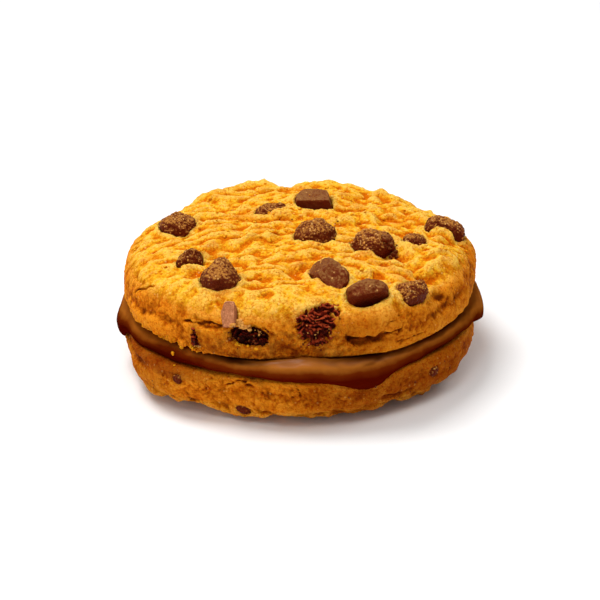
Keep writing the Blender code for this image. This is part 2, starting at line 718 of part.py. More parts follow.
def build_bottom_cookie(parts, pockets, crust, chocolate):
    """Builds the lower cookie, crown down, trimmed level where its crags meet the table."""

    def make(shape):
        marks = [turned_over(mark) for mark in BOTTOM_SIDE_MARKS]
        rest_rise = (Dent(0.0, 0.0, REST_REACH, REST_REACH, -REST_RISE),)
        shape_cookie(shape, BOTTOM_PLAN, BOTTOM_THICKNESS, rest_rise, marks, (), 0.0)
        turn_over = Matrix.Translation(BOTTOM_SHIFT + Vector((0.0, 0.0, BOTTOM_THICKNESS)))
        turn_over = turn_over @ Matrix.Rotation(math.pi, 4, "X")
        bmesh.ops.transform(shape, matrix=turn_over, verts=shape.verts)

    cookie = new_object("bottom_cookie", make, parts, crust)
    add_chips(BOTTOM_SIDE_CHIPS, low_side_place, parts, pockets, chocolate, LOW_LAYER, False)
    add_chips(under_chips(), under_place, parts, pockets, chocolate, UNDER_LAYER, False)

    def make_table(shape):
        bmesh.ops.create_cube(shape, size=1.0)
        bmesh.ops.scale(shape, vec=(TRIM_WIDTH, TRIM_WIDTH, TRIM_DEPTH), verts=shape.verts)
        bmesh.ops.translate(shape, vec=(0.0, 0.0, -TRIM_DEPTH / 2.0), verts=shape.verts)

    hide_cutter(new_object("level_trim", make_table, pockets))
    thin_out(cookie, BOTTOM_KEEP)
    cut_pockets(cookie, pockets)


def build_cream(parts, cream):
    """Builds the layer of chocolate cream."""
    layer = new_object("filling", shape_cream, parts, cream)
    thin_out(layer, CREAM_KEEP)


def main():
    """Clears the scene and builds the sandwich."""
    for old in list(bpy.data.objects):
        bpy.data.objects.remove(old)
    parts = add_collection("chocolate_chip_cookie_sandwich")
    top_pockets = add_collection("top_cutters")
    bottom_pockets = add_collection("bottom_cutters")
    crust = add_material("baked_crust", CRUST_COLOUR, CRUST_ROUGHNESS)
    chocolate = add_material("chip_chocolate", CHIP_COLOUR, CHIP_ROUGHNESS)
    cream = add_material("chocolate_cream", CREAM_COLOUR, CREAM_ROUGHNESS)
    build_top_cookie(parts, top_pockets, crust, chocolate)
    build_bottom_cookie(parts, bottom_pockets, crust, chocolate)
    build_cream(parts, cream)


main()
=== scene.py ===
"""Looks of a chocolate chip cookie sandwich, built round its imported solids.

The tables hold millimetres and degrees, and all other lengths are in metres. Every
place is in the frame of the solids: +Z up, the front towards -Y and the origin under
the middle. Azimuths count from +X, with the front at 270.
"""

import logging
import math
from collections.abc import Sequence
from dataclasses import dataclass, replace
from enum import Enum

import bmesh
import bpy
import numpy as np
from mathutils import Matrix, Vector, noise


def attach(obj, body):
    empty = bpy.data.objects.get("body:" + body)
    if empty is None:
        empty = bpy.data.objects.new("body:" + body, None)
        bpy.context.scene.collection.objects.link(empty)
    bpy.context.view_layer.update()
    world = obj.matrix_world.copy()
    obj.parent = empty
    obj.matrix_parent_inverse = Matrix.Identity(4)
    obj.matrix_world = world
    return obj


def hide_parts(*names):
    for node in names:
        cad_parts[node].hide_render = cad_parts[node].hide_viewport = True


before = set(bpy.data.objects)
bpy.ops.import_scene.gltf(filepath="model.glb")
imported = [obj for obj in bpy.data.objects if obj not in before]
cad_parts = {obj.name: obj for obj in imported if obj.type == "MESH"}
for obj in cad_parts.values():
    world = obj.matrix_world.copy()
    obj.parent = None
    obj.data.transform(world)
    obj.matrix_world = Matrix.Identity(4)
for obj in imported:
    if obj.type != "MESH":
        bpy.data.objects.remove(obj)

LOG = logging.getLogger("cookie_sandwich")
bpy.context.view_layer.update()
BODY = "root"
MM = 0.001
GAP = 0.3 * MM
Array = np.ndarray
Pair = tuple[float, float]
Triple = tuple[float, float, float]
Colour = Triple
Material = bpy.types.Material
Mesh = bpy.types.Mesh
Piece = bpy.types.Object
Socket = bpy.types.NodeSocket
Number = float | Socket
Hue = Colour | Socket

# Layers of the sandwich
TOP_THICKNESS = 12.3 * MM
BOTTOM_THICKNESS = 10.7 * MM
CREAM_THICKNESS = 3.6 * MM
TOP_BASE = BOTTOM_THICKNESS + CREAM_THICKNESS
CREAM_MIDDLE = BOTTOM_THICKNESS + CREAM_THICKNESS / 2.0
BOTTOM_SHIFT = Vector((-0.36, -0.72, 0.0)) * MM

# Noise: the steps between its layers and between the chips' layers, and where each row of chips begins
LAYER_STEP = 7.3
CHIP_STEP = 3.7
CROWN_LAYER = 1.0
FRONT_LAYER = 60.0
BACK_LAYER = 90.0
LOW_LAYER = 120.0
UNDER_LAYER = 180.0

# Fineness of the meshes
COOKIE_FINENESS = 8
CREAM_FINENESS = 7
CHIP_FINENESS = 6

# Cracks: the share of their length in which an end fades, and the width of the lips in crack widths
CRACK_END = 0.12
CRACK_LIP_WIDTH = 3.0


def smooth_step(low: float, high: float, values: Array) -> Array:
    """Returns 0 below low, 1 above high and a smooth rise between them."""
    share = np.clip((values - low) / (high - low), 0.0, 1.0)
    return share * share * (3.0 - 2.0 * share)


def mound(along: Array, aside: Array, ends: float = 2.0, sides: float = 2.0) -> Array:
    """Returns 1 in the middle of a mound and less away from it, steeper for higher powers."""
    return np.exp(-(along ** ends) - aside ** sides)


def rounded(share: Array, squareness: float, roundness: float) -> Array:
    """Returns the height of a superellipse, from 1 down to 0, at some shares of its reach."""
    return (1.0 - np.minimum(share, 1.0) ** squareness) ** (1.0 / roundness)


def sample(lattice: Array) -> Array:
    """Returns smooth noise from about -1 to 1 at some places, a row each."""
    return np.array([noise.noise(place) for place in lattice.tolist()])


def shifted(points: Array, size: float, layer: float) -> Array:
    """Returns points in units of a size, moved to one of the independent layers of noise."""
    return points / size + (0.0, 0.0, LAYER_STEP * layer)


def grain(points: Array, size: float, layer: float) -> Array:
    """Returns smooth noise from about -1 to 1 whose blobs have the given size."""
    return sample(shifted(points, size, layer))


def grains(points: Array, size: float, layer: float, first: int, count: int = 3) -> Array:
    """Returns some successive layers of smooth noise, a column each."""
    return np.stack([grain(points, size, layer + k) for k in range(first, first + count)], axis=1)


def cells(points: Array, size: float, layer: float) -> Array:
    """Returns rounded grains of the given size: about 0.5 on each, down to -0.5 between them."""
    places = shifted(points, size, layer).tolist()
    return 0.5 - np.array([noise.voronoi(place)[0][0] for place in places])


def blobs(points: Array, size: float, layer: float, softness: float = 0.42) -> Array:
    """Returns a cobbled relief: rounded blobs, each of its own height, with creases between.

    Args:
        points: the points, a row each.
        size: the size of the blobs.
        layer: which of the independent layers of noise to read.
        softness: how wide the creases are, as a share of the size.

    Returns:
        One value for each point, from -0.4 to 0.6.
    """
    found = [noise.voronoi(place) for place in shifted(points, size, layer).tolist()]
    first, second = np.array([near[0][:2] for near in found]).T
    seats = np.array([tuple(near[1][0]) for near in found])
    pick = np.modf(np.abs(np.sin(seats @ (12.9898, 78.233, 37.719)) * 437.5453))[0]
    crease = smooth_step(0.0, softness, second - first)
    return crease * (0.25 + 0.75 * pick) * (1.0 - 0.45 * np.minimum(first, 1.0) ** 2) - 0.4


def turn_between(first: Array, second: float) -> Array:
    """Returns the turn in degrees from one azimuth to others, from -180 to 180."""
    return (first - second + 180.0) % 360.0 - 180.0


def azimuths(points: Array) -> Array:
    """Returns the azimuths of some points in degrees."""
    return np.degrees(np.arctan2(points[:, 1], points[:, 0]))


def distance_to_line(places: Array, line: Sequence[Pair]) -> tuple[Array, Array]:
    """Measures how far places lie from an open line.

    Args:
        places: rows of two coordinates.
        line: the line's points, in the same units.

    Returns:
        The distance of each place, and its share of the way along the line.
    """
    nearest = np.full(len(places), 1e9)
    along = np.zeros(len(places))
    spans = len(line) - 1
    for number in range(spans):
        start = np.array(line[number])
        step = np.array(line[number + 1]) - start
        share = np.clip((places - start) @ step / (step @ step), 0.0, 1.0)
        away = np.linalg.norm(places - start - share[:, None] * step, axis=1)
        closer = away < nearest
        nearest[closer] = away[closer]
        along[closer] = (number + share[closer]) / spans
    return nearest, along


class Slot(Enum):
    """Material slots of the record."""

    CRUST = "cookie_crust"
    CREAM = "chocolate_cream"
    CHIP = "chocolate_chip"
    PALE = "pale_chocolate"


class Skin(Enum):
    """Skins of a chip: size and height of its grains, and height of its strands, in mm."""

    GRAINY = (0.85, 0.24, 0.0)
    SMOOTH = (1.5, 0.12, 0.0)
    ROPEY = (0.9, 0.4, 1.3)
    SHADED = (1.0, 0.4, 1.1)
    PALE = (0.6, 0.05, 0.0)


class Form(Enum):
    """Forms of a chip: width, taper, height where the taper begins, and power of the height."""

    DOME = (1.0, 0.0, 0.0, 0.85)
    CHUNK = (0.9, 0.0, 0.0, 0.62)
    DROP = (1.08, 0.5, -0.2, 1.0)
    SHARD = (1.0, 0.35, -1.0, 0.8)

    @staticmethod
    def squared(values: Array, power: float) -> Array:
        """Returns shares of a half size, nearer to the full size where the power is below 1."""
        return np.copysign(np.abs(values) ** power, values)

    def width(self, z: Array) -> Array:
        """Returns how wide the form is at some heights, all in half sizes."""
        width, taper, start, _ = self.value
        return width * (1.0 - taper * smooth_step(start, 1.0, z))

    def points(self, unit: Array) -> Array:
        """Shapes the form.

        Args:
            unit: points of the unit sphere.

        Returns:
            The form's points, in half sizes.
        """
        x, y, z = unit.T
        power = self.value[3]
        if self is Form.CHUNK:
            return self.value[0] * self.squared(unit, power)
        return np.stack([x * self.width(z), y * self.width(z), self.squared(z, power)], axis=1)

    def share(self, points: Array) -> Array:
        """Measures where points lie.

        Args:
            points: points in half sizes.

        Returns:
            1 on the form, less inside it and more outside.
        """
        power = 1.0 / self.value[3]
        if self is Form.CHUNK:
            return np.linalg.norm(self.squared(points / self.value[0], power), axis=1)
        x, y, z = points.T
        wide = self.width(z)
        return np.sqrt((x / wide) ** 2 + (y / wide) ** 2 + self.squared(z, power) ** 2)


UPRIGHT = (0.0, 0.0, 0.0)


@dataclass(frozen=True)
class Chip:
    """A chip: its node, form, place, half sizes, turns and skin.

    Each break is a broken face: its direction, and its distance as a share of the half size.
    """

    name: str
    form: Form
    place: Triple
    size: Triple
    turn: Triple = UPRIGHT
    skin: Skin = Skin.GRAINY
    breaks: tuple[tuple[Triple, float], ...] = ()


@dataclass(frozen=True)
class Dent:
    """A round or oval hollow of the crown, or a rise where its depth is negative."""

    x: float
    y: float
    length: float
    width: float
    depth: float
    turn: float = 0.0

    def rise(self, points: Array) -> Array:
        """Measures how far the dent lifts the crown.

        Args:
            points: points of the crown, a row each.

        Returns:
            The rise of each.
        """
        x, y = points[:, 0] / MM - self.x, points[:, 1] / MM - self.y
        turn = math.radians(self.turn)
        along = (x * math.cos(turn) + y * math.sin(turn)) / self.length
        aside = (y * math.cos(turn) - x * math.sin(turn)) / self.width
        return -self.depth * MM * mound(along, aside)


@dataclass(frozen=True)
class SideMark:
    """A hollow of a side, or a raised slab where its depth is negative."""

    azimuth: float
    height: float
    half_turn: float
    half_height: float
    depth: float
    sharpness: float = 4.0

    def rise(self, azimuth: Array, height: Array, wander: Array) -> Array:
        """Returns how far the mark lifts points of the side, whose azimuths wander by some degrees."""
        along = (turn_between(azimuth, self.azimuth) + wander) / self.half_turn
        aside = np.abs(height - self.height) / self.half_height
        return -self.depth * MM * mound(along, aside, 4.0, self.sharpness)


@dataclass(frozen=True)
class Crack:
    """A crack of a side, along a line of azimuths and heights, with a lip on both sides."""

    line: tuple[Pair, ...]
    width: float
    depth: float
    lip: float = 0.0

    def rise(self, places: Array, opening: Array, scale: float) -> Array:
        """Measures how far the crack lifts points of the side.

        Args:
            places: the points on the unrolled side, in millimetres.
            opening: how far the crack is open at each point, as a share.
            scale: the millimetres of the unrolled side in a degree.

        Returns:
            The rise of each point.
        """
        away, along = distance_to_line(places, [(degrees * scale, height) for degrees, height in self.line])
        ends = smooth_step(0.0, CRACK_END, along) * smooth_step(1.0, 1.0 - CRACK_END, along)
        cut = self.depth * opening * mound(away / self.width, 0.0)
        return ends * MM * (self.lip * mound(away / (CRACK_LIP_WIDTH * self.width), 0.0) - cut)


@dataclass(frozen=True)
class Tint:
    """A darker part of a side, of a strength up to 1."""

    azimuth: float
    height: float
    half_turn: float
    half_height: float
    strength: float

    def share(self, azimuth: Array, height: Array) -> Array:
        """Returns the tint's strength at some points of the side."""
        along = turn_between(azimuth, self.azimuth) / self.half_turn
        return self.strength * mound(along, (height - self.height) / self.half_height, 4.0, 4.0)


@dataclass(frozen=True)
class Scatter:
    """A patch of crumbs: its middle as azimuth and height, or as x and y on the crown.

    The spread is a half width in the middle's units.
    """

    middle: Pair
    spread: Pair
    count: int
    sizes: Pair
    crown: bool = False


def rows(kind: type, *table: tuple) -> tuple:
    """Returns a record of one kind for each row of a table."""
    return tuple(kind(*row) for row in table)


def numbered(prefix: str, *table: tuple) -> tuple[Chip, ...]:
    """Returns a chip for each row of a table, with its number in its name."""
    return tuple(Chip(f"{prefix}_{number:02d}", *row) for number, row in enumerate(table, 1))


DOME, CHUNK, DROP, SHARD = Form

# Chips of the crown, placed by x, y and how far they stand out
CROWN_CHIPS = numbered(
    "chip_crown",
    (DOME, (-25.2, 5.9, -0.5), (3.9, 3.7, 2.8), (0, 0, 15)),
    (DOME, (-5.7, 12.5, -0.7), (4.1, 1.9, 2.0), (0, 0, 30)),
    (CHUNK, (3.4, 16.2, -0.3), (4.6, 4.5, 3.1), (0, 0, -4), Skin.SMOOTH,
     (((0, -0.1, 1), 0.62), ((0.05, -1, 0.1), 0.6), ((1, 0.1, 0.2), 0.75))),
    (DOME, (3.2, -1.9, -0.3), (4.3, 4.3, 3.2)),
    (CHUNK, (30.2, 1.8, -0.6), (4.6, 2.7, 2.5), (0, 18, -8)),
    (DOME, (14.8, -8.1, -0.3), (4.3, 4.1, 3.3), (0, 0, -20)),
    (DOME, (22.9, -6.7, -0.7), (2.6, 2.1, 2.3), (0, 0, 10)),
    (SHARD, (-21.9, -12.1, -0.6), (4.2, 2.2, 2.4), (0, 0, 52)),
    (DROP, (-15.4, -22.7, -0.2), (3.9, 5.2, 4.5), (-30, 6, 0)),
    (DOME, (5.5, -22.1, -0.4), (5.6, 3.1, 3.1), (0, 0, -60), Skin.SMOOTH,
     (((-0.6, -0.5, 0.75), 0.66), ((0.75, -0.35, 0.5), 0.74))),
    (DOME, (12.7, -29.4, -0.1), (4.2, 2.9, 2.8), (18, 0, 14), Skin.SMOOTH, (((0.1, -1, -0.25), 0.5),)),
    (DOME, (21.1, -26.4, -0.5), (3.8, 2.6, 2.4), (22, 0, 38)),
)

# Chips of the sides, placed by azimuth, height and how far they stand out
FRONT_CHIPS = numbered(
    "chip_front",
    (DOME, (275.2, 20.4, -3.6), (4.2, 5.6, 4.4), UPRIGHT, Skin.ROPEY),
    (CHUNK, (247.6, 23.2, -0.9), (1.1, 1.7, 2.9), (9, -26, 0), Skin.PALE,
     (((1, 0, 0.1), 0.62), ((0, -0.8, 0.6), 0.84), ((0, 1, 0.05), 0.72))),
    (SHARD, (235.9, 17.6, -0.8), (1.3, 0.9, 2.2), UPRIGHT, Skin.ROPEY),
    (DOME, (253.4, 18.4, -3.2), (2.6, 4.4, 2.3), (-16, 0, 0), Skin.SHADED),
)
BACK_CHIPS = numbered(
    "chip_back",
    (DOME, (52, 18.6, -1.4), (2.4, 3.6, 3.0)),
    (CHUNK, (101, 19.6, -1.6), (2.7, 3.9, 3.4)),
    (DOME, (147, 18.8, -1.4), (2.3, 3.2, 3.1)),
    (SHARD, (12, 18.6, -1.0), (1.8, 2.6, 2.4)),
)
LOW_CHIPS = numbered(
    "chip_low",
    (DOME, (230, 8.5, -1.9), (2.2, 1.7, 1.4)),
    (DOME, (251, 3.7, -2.3), (2.1, 1.9, 1.5)),
    (DOME, (314, 7.6, -1.7), (2.2, 1.9, 1.6)),
    (CHUNK, (35, 6.2, -1.5), (2.6, 3.6, 2.7)),
    (DOME, (88, 5.4, -1.4), (2.4, 3.4, 2.8)),
    (CHUNK, (146, 6.4, -1.5), (2.5, 3.2, 2.6)),
)

CROWN_DENTS = rows(
    Dent,
    (-3.2, 32.8, 1.6, 3.4, 1.6), (4.6, 32, 5, 4, -0.9), (-18.5, 27, 7, 4, -1, 30),
    (-9, 32, 4, 3, -0.8), (-23.5, 26, 2.2, 3, -1.1), (-30, 17.5, 7, 4.5, 1.8, 60),
    (19.5, 29, 3.5, 3, 0.5), (25, 26, 3, 3, -1.2), (27.5, 21, 10, 6, 1.5, -44),
    (-15.5, -9.6, 4.6, 2.4, 1.2), (-20.6, -17.6, 2.6, 3.4, 1.1), (-0.8, -19.4, 2.2, 4, 1.4),
    (18.6, -12, 1.8, 2.8, 1.9, -30), (26.6, -19.4, 6, 2.4, 2.4, 40), (-4, -30, 9, 4, -0.6),
    (15, -19, 5, 4, -0.7), (14, 20, 5, 3, 0.8),
)
REST_RISE = rows(Dent, (0, 0, 7, 7, -2.4))

# Low rises of the dough that hide the feet of some chips
CHIP_LIPS = rows(
    Dent,
    (12.5, -13.2, 2.4, 1.1, -0.9), (18.9, -29.2, 1.8, 0.9, -0.8, -20),
    (15.2, -32.3, 2.4, 0.9, -0.8, 12), (21.8, -9.4, 2.2, 0.9, -0.7),
)
TOP_SIDE_MARKS = rows(
    SideMark,
    (253, 19.5, 7.4, 1.9, 2.6), (241.5, 21, 7, 0.8, 0.8), (291.5, 22.2, 9.5, 3.3, -1.5, 9),
    (289.5, 17.9, 6, 0.8, 1.1), (213, 16.7, 14, 1.9, -1), (322, 16.7, 17, 1.9, -1),
    (203, 23.6, 5, 0.9, 0.7), (318, 21.8, 5, 1.2, 0.7), (70, 19.5, 9, 1, 0.8),
    (125, 21.5, 8, 1, 0.8), (165, 20, 7, 0.9, 0.7),
)
BOTTOM_SIDE_MARKS = rows(
    SideMark,
    (200, 9.4, 20, 1.8, 0.9), (253, 10.2, 2.2, 0.9, 0.9), (262, 7.4, 6, 0.8, 0.25),
    (300, 5, 7, 0.9, 0.6), (60, 6, 8, 0.9, 0.7), (155, 6.8, 7, 0.9, 0.7),
)
TOP_CRACKS = rows(
    Crack,
    (((230.5, 19.9), (234, 20.8), (237, 20.6), (241, 21.1), (247.5, 20.7)), 0.26, 1, 0.2),
    (((203, 20.3), (208, 22), (213, 23.8), (221, 26)), 0.28, 0.8, 0.2),
    (((282.6, 27.2), (282.2, 24.6), (282.5, 22.1), (283.2, 20.4)), 0.36, 1.4, 0.25),
    (((282.8, 20.2), (284.6, 18.7), (288.4, 17.9), (291.6, 18.4), (294.4, 19.3), (298.6, 19),
      (302.2, 19.9)), 0.34, 1.5, 0.3),
    (((283.6, 26.6), (286.7, 26.3), (288.9, 24.9)), 0.2, 0.5, 0.1),
    (((294.1, 20.8), (296, 20.7), (298.2, 21.4), (301, 22.2)), 0.2, 0.5, 0.1),
    (((298, 16.2), (302, 16.6), (306.7, 16.9), (311, 17.1)), 0.2, 0.5, 0.1),
    (((60, 19), (68, 20), (77, 19.4)), 0.3, 0.9, 0.2),
    (((118, 21.4), (126, 21.8), (134, 20.8)), 0.3, 0.9, 0.2),
    (((158, 17.6), (164, 18.4), (171, 18)), 0.24, 0.7, 0.15),
)
BOTTOM_CRACKS = rows(
    Crack,
    (((244.6, 8.5), (248, 9), (250.6, 9.8), (252.9, 10.7)), 0.24, 0.8, 0.2),
    (((269, 10.4), (270, 8.8), (269.6, 7.2)), 0.22, 0.5, 0.1),
    (((60, 6), (66, 6.8), (72, 6.2)), 0.26, 0.7, 0.15),
    (((170, 6), (177, 6.6), (183, 6.1)), 0.26, 0.7, 0.15),
)

# Cream smears with painted shadows in gaps and under edges, and painted shade, darkest low down and at the
# right
TOP_SMEARS_AND_SHADOWS = rows(
    Tint,
    (268, 15.8, 24, 1.5, 0.8), (263, 18.4, 8, 2.4, 0.8), (254, 19.2, 7.5, 2.2, 0.8),
    (243, 16.6, 7, 2, 0.75), (252, 14.9, 11, 1, 0.95), (289.5, 17.9, 6.5, 0.9, 0.6),
    (235.9, 18, 2.2, 2.8, 0.6), (275, 20.5, 10, 5, 0.7), (95, 15.6, 30, 1.3, 0.5),
    (320, 24.6, 6.5, 2.2, 0.45),
)
TOP_SHADE_TINTS = rows(
    Tint,
    (315, 16.5, 38, 5, 0.32), (291, 19, 11, 4.5, 0.42), (262, 16, 30, 3.6, 0.45), (120, 17, 60, 5, 0.3),
)
BOTTOM_SMEARS_AND_SHADOWS = rows(
    Tint,
    (206, 10.3, 24, 1.4, 0.4), (228.5, 9, 3, 1.3, 0.8), (255, 10.8, 3.5, 1, 0.7),
    (285, 7.6, 9, 1.2, 0.2), (130, 9.4, 12, 1.2, 0.5),
)
BOTTOM_SHADE_TINTS = rows(
    Tint,
    (310, 5, 44, 9, 0.9), (262, 5, 20, 9, 0.22), (206, 5, 24, 7, 0.6), (214, 10, 28, 1.8, 1),
    (240, 5, 44, 9, 0.16), (110, 5, 70, 9, 0.45),
)

# Lobes of the outlines: azimuth, half width and reach
TOP_LOBES = (
    (190, 13, 0.5), (213, 11, 0.7), (239, 11, 0.7), (267, 13, -1), (300, 12, 0.9), (340, 12, -0.3),
    (2, 6, 0.5), (60, 20, -0.2), (120, 18, 0.3),
)
BOTTOM_LOBES = (
    (215, 13, 2.1), (229, 9, 0.8), (248, 10, -1.05), (284, 9, 0.4), (302, 12, 0.9), (322, 14, 1),
    (100, 20, -0.4), (40, 16, 0.4),
)

# Lobes of the cream: azimuth, half width, reach, rise, sag and how far the middle drops
CREAM_LOBES = (
    (188, 9, 1.6, -0.6, 2.7, 2.6), (208, 12, 0.6, 0, 1.6, 0.5), (246, 14, 0.2, -0.2, -1.4, 0.5),
    (270, 11, 0.6, 1, 0.5, 0), (289, 11, 1.5, 0, 2.8, 2), (328, 13, 0.2, 0.3, -0.7, -0.1),
    (352, 9, 1.2, -0.3, 0.9, 2.2), (40, 18, 0.9, 0.2, 0.4, 0.3), (85, 14, 0.2, 0, -0.3, 0),
    (128, 16, 1.2, 0.1, 0.6, 0.4),
)

# Painted shadow under the top cookie's edge, and darker stretches: azimuth, half width and depth of shade
CREAM_ROOF_SHADOWS = ((248, 9, 0.65), (291, 10, 0.65), (325, 20, 0.5))
CREAM_SHADES = ((228, 16, 0.24), (190, 11, 0.34), (270, 7, 0.08), (286, 10, -0.1))

DOUGH_CRUMBS = rows(
    Scatter,
    ((236.4, 15.4), (2.4, 0.8), 12, (0.15, 0.45)), ((224, 15), (14, 0.7), 40, (0.15, 0.5)),
    ((252, 17.6), (6, 0.6), 14, (0.15, 0.4)), ((319, 24), (1.2, 0.6), 2, (0.9, 1.25)),
    ((0, 0), (34, 34), 150, (0.15, 0.5), True),
)
PALE_CRUMBS = rows(
    Scatter,
    ((252.6, 20.9), (2.6, 0.7), 26, (0.18, 0.5)), ((250.8, 22), (1.6, 0.5), 9, (0.3, 0.65)),
    ((256.6, 19.8), (1.6, 0.6), 8, (0.12, 0.3)), ((236.4, 16), (1.6, 0.6), 6, (0.15, 0.35)),
    ((275, 21), (9, 3.5), 14, (0.08, 0.2)), ((3.2, -1.9), (5, 4.5), 26, (0.08, 0.24), True),
    ((14.8, -8.1), (5, 4.5), 44, (0.08, 0.28), True), ((12.4, -7.2), (1.6, 1.4), 8, (0.15, 0.4), True),
    ((22.9, -6.7), (2.8, 2.2), 12, (0.08, 0.22), True), ((30.2, 1.8), (4.5, 2.8), 24, (0.1, 0.3), True),
    ((-15.4, -19.5), (3.2, 3), 26, (0.07, 0.2), True), ((4.3, -19.5), (3, 3), 16, (0.08, 0.26), True),
    ((-25.2, 5.9), (4.2, 4), 10, (0.08, 0.25), True), ((21.1, -26.4), (4, 3), 16, (0.08, 0.22), True),
    ((3.4, 16.2), (4, 4), 6, (0.08, 0.2), True),
)
CHOCOLATE_CRUMBS = rows(
    Scatter,
    ((6.5, 3.2), (3, 2), 5, (0.12, 0.3), True), ((-4, 6.5), (4, 3), 4, (0.12, 0.28), True),
    ((19, -9.5), (3, 3), 5, (0.12, 0.3), True), ((0, 0), (32, 32), 6, (0.1, 0.25), True),
    ((18.2, -10.6), (1.5, 0.9), 46, (0.25, 0.65), True), ((253, 19), (8, 2.2), 16, (0.15, 0.4)),
    ((272, 18), (9, 1.6), 8, (0.12, 0.3)), ((222, 6), (12, 2.4), 5, (0.12, 0.28)),
    ((300, 6.5), (26, 2.6), 8, (0.12, 0.28)),
)


def lobe_sum(degrees: Array, lobes: Sequence[Sequence[float]], column: int) -> Array:
    """Returns what a column says of some lobes, summed up at some azimuths, in metres."""
    sizes = [lobe[column] * mound(turn_between(degrees, lobe[0]) / lobe[1], 0.0) for lobe in lobes]
    return sum(sizes) * MM


def ring_noise(azimuth: Array, waves: float, layer: float) -> Array:
    """Returns smooth noise at some azimuths, in radians, that runs round without a seam."""
    ring = np.stack([np.cos(azimuth), np.sin(azimuth), np.zeros(len(azimuth))], axis=1)
    return sample(waves * ring + (0.0, 0.0, layer))


@dataclass(frozen=True)
class Plan:
    """The outline of a cookie from above, before it is turned over."""

    radius: float
    lobes: tuple[Triple, ...]
    layer: float
    wave: float = 0.5 * MM
    waves: float = 2.1

    def reach(self, x: Array, y: Array) -> Array:
        """Returns the outline's reach in the direction of some points."""
        azimuth = np.arctan2(y, x)
        wave = self.wave * ring_noise(azimuth, self.waves, self.layer)
        return self.radius + lobe_sum(np.degrees(azimuth), self.lobes, 2) + wave


@dataclass(frozen=True)
class Section:
    """The section of a cookie: a flat crown, a full shoulder and a base tucked in below."""

    waist_share: float = 0.224
    crown_squareness: float = 10.0
    shoulder_roundness: float = 2.7
    base_squareness: float = 80.0
    tuck_roundness: float = 2.2

    def outline(self, radius: float, thickness: float, steps: int = 600) -> tuple[Array, Array, Array]:
        """Draws the section from the crown's middle to the base's.

        Args:
            radius: the cookie's radius.
            thickness: the cookie's thickness.
            steps: the number of points of each of its two stretches.

        Returns:
            The radii, the heights and the distances along the outline.
        """
        waist = self.waist_share * thickness
        swing = np.linspace(0.0, math.pi / 2.0, steps)
        crown_r = radius * np.sin(swing) ** (2.0 / self.crown_squareness)
        crown_z = waist + (thickness - waist) * np.cos(swing) ** (2.0 / self.shoulder_roundness)
        base_r = radius * np.cos(swing) ** (2.0 / self.base_squareness)
        base_z = waist - waist * np.sin(swing) ** (2.0 / self.tuck_roundness)
        radii = np.concatenate([[0.0], crown_r[1:], base_r[1:-1], [0.0]])
        heights = np.concatenate([[thickness], crown_z[1:], base_z[1:-1], [0.0]])
        spans = np.hypot(np.diff(radii), np.diff(heights))
        return radii, heights, np.concatenate([[0.0], np.cumsum(spans)])

    def crown_height(self, share: Array, thickness: float) -> Array:
        """Returns the height of the smooth crown at some shares of the radius."""
        waist = self.waist_share * thickness
        return waist + (thickness - waist) * rounded(share, self.crown_squareness, self.shoulder_roundness)

    def base_height(self, share: Array, thickness: float) -> Array:
        """Returns the height of the smooth base at some shares of the radius."""
        waist = self.waist_share * thickness
        return waist - waist * rounded(share, self.base_squareness, self.tuck_roundness)


TOP_PLAN = Plan(36.0 * MM, TOP_LOBES, 0.0)
BOTTOM_PLAN = Plan(36.4 * MM, tuple((-lobe[0], *lobe[1:]) for lobe in BOTTOM_LOBES), 20.0)
SECTION = Section()


def read_rows(mesh: Mesh, normals: bool = False) -> Array:
    """Reads a mesh.

    Args:
        mesh: the mesh.
        normals: whether its vertex normals are read, and not its vertices.

    Returns:
        A row for each vertex.
    """
    flat = np.empty(3 * len(mesh.vertices), np.float32)
    source = mesh.vertex_normals if normals else mesh.vertices
    source.foreach_get("vector" if normals else "co", flat)
    return flat.reshape(-1, 3).astype(float)


def write_points(mesh: Mesh, points: Array) -> None:
    """Moves a mesh's vertices to the given rows."""
    mesh.vertices.foreach_set("co", points.astype(np.float32).ravel())
    mesh.update()


def write_values(mesh: Mesh, name: str, values: Array) -> None:
    """Stores one value for each vertex, for the materials to read."""
    attribute = mesh.attributes.new(name, "FLOAT", "POINT")
    attribute.data.foreach_set("value", values.astype(np.float32))


def moved(points: Array, place: Matrix) -> Array:
    """Returns points after a move."""
    matrix = np.array(place)
    return points @ matrix[:3, :3].T + matrix[:3, 3]


def hollowness(mesh: Mesh, rounds: int) -> Array:
    """Measures how far each vertex lies in a hollow, at the scale of some rounds of smoothing.

    Args:
        mesh: the mesh, of about even edges.
        rounds: how often each vertex moves halfway to the mean of its neighbours.

    Returns:
        The depth of each vertex below the smoothed surface.
    """
    edges = np.empty(2 * len(mesh.edges), np.int32)
    mesh.edges.foreach_get("vertices", edges)
    first, second = edges.reshape(-1, 2).T
    count = len(mesh.vertices)
    ends = np.concatenate([first, second])
    others = np.concatenate([second, first])
    degree = np.bincount(ends, minlength=count)
    start = read_rows(mesh)
    points = start.copy()
    for _ in range(rounds):
        sums = [np.bincount(ends, weights=points[others, axis], minlength=count) for axis in range(3)]
        points = 0.5 * points + 0.5 * np.stack(sums, axis=1) / degree[:, None]
    return np.einsum("ij,ij->i", points - start, read_rows(mesh, normals=True))


def finished(shape: bmesh.types.BMesh, name: str) -> Mesh:
    """Makes a smooth mesh of a shape, which is used up.

    Args:
        shape: the shape.
        name: the mesh's name.

    Returns:
        The mesh.
    """
    mesh = bpy.data.meshes.new(name)
    shape.to_mesh(mesh)
    shape.free()
    mesh.shade_smooth()
    return mesh


def round_mesh(name: str, fineness: int) -> Mesh:
    """Returns a unit sphere of even triangles, to be shaped."""
    shape = bmesh.new()
    bmesh.ops.create_icosphere(shape, subdivisions=fineness, radius=1.0)
    return finished(shape, name)


def linked(name: str, data: bpy.types.ID) -> Piece:
    """Returns a new object of the scene that shows some data."""
    made = bpy.data.objects.new(name, data)
    bpy.context.scene.collection.objects.link(made)
    return made


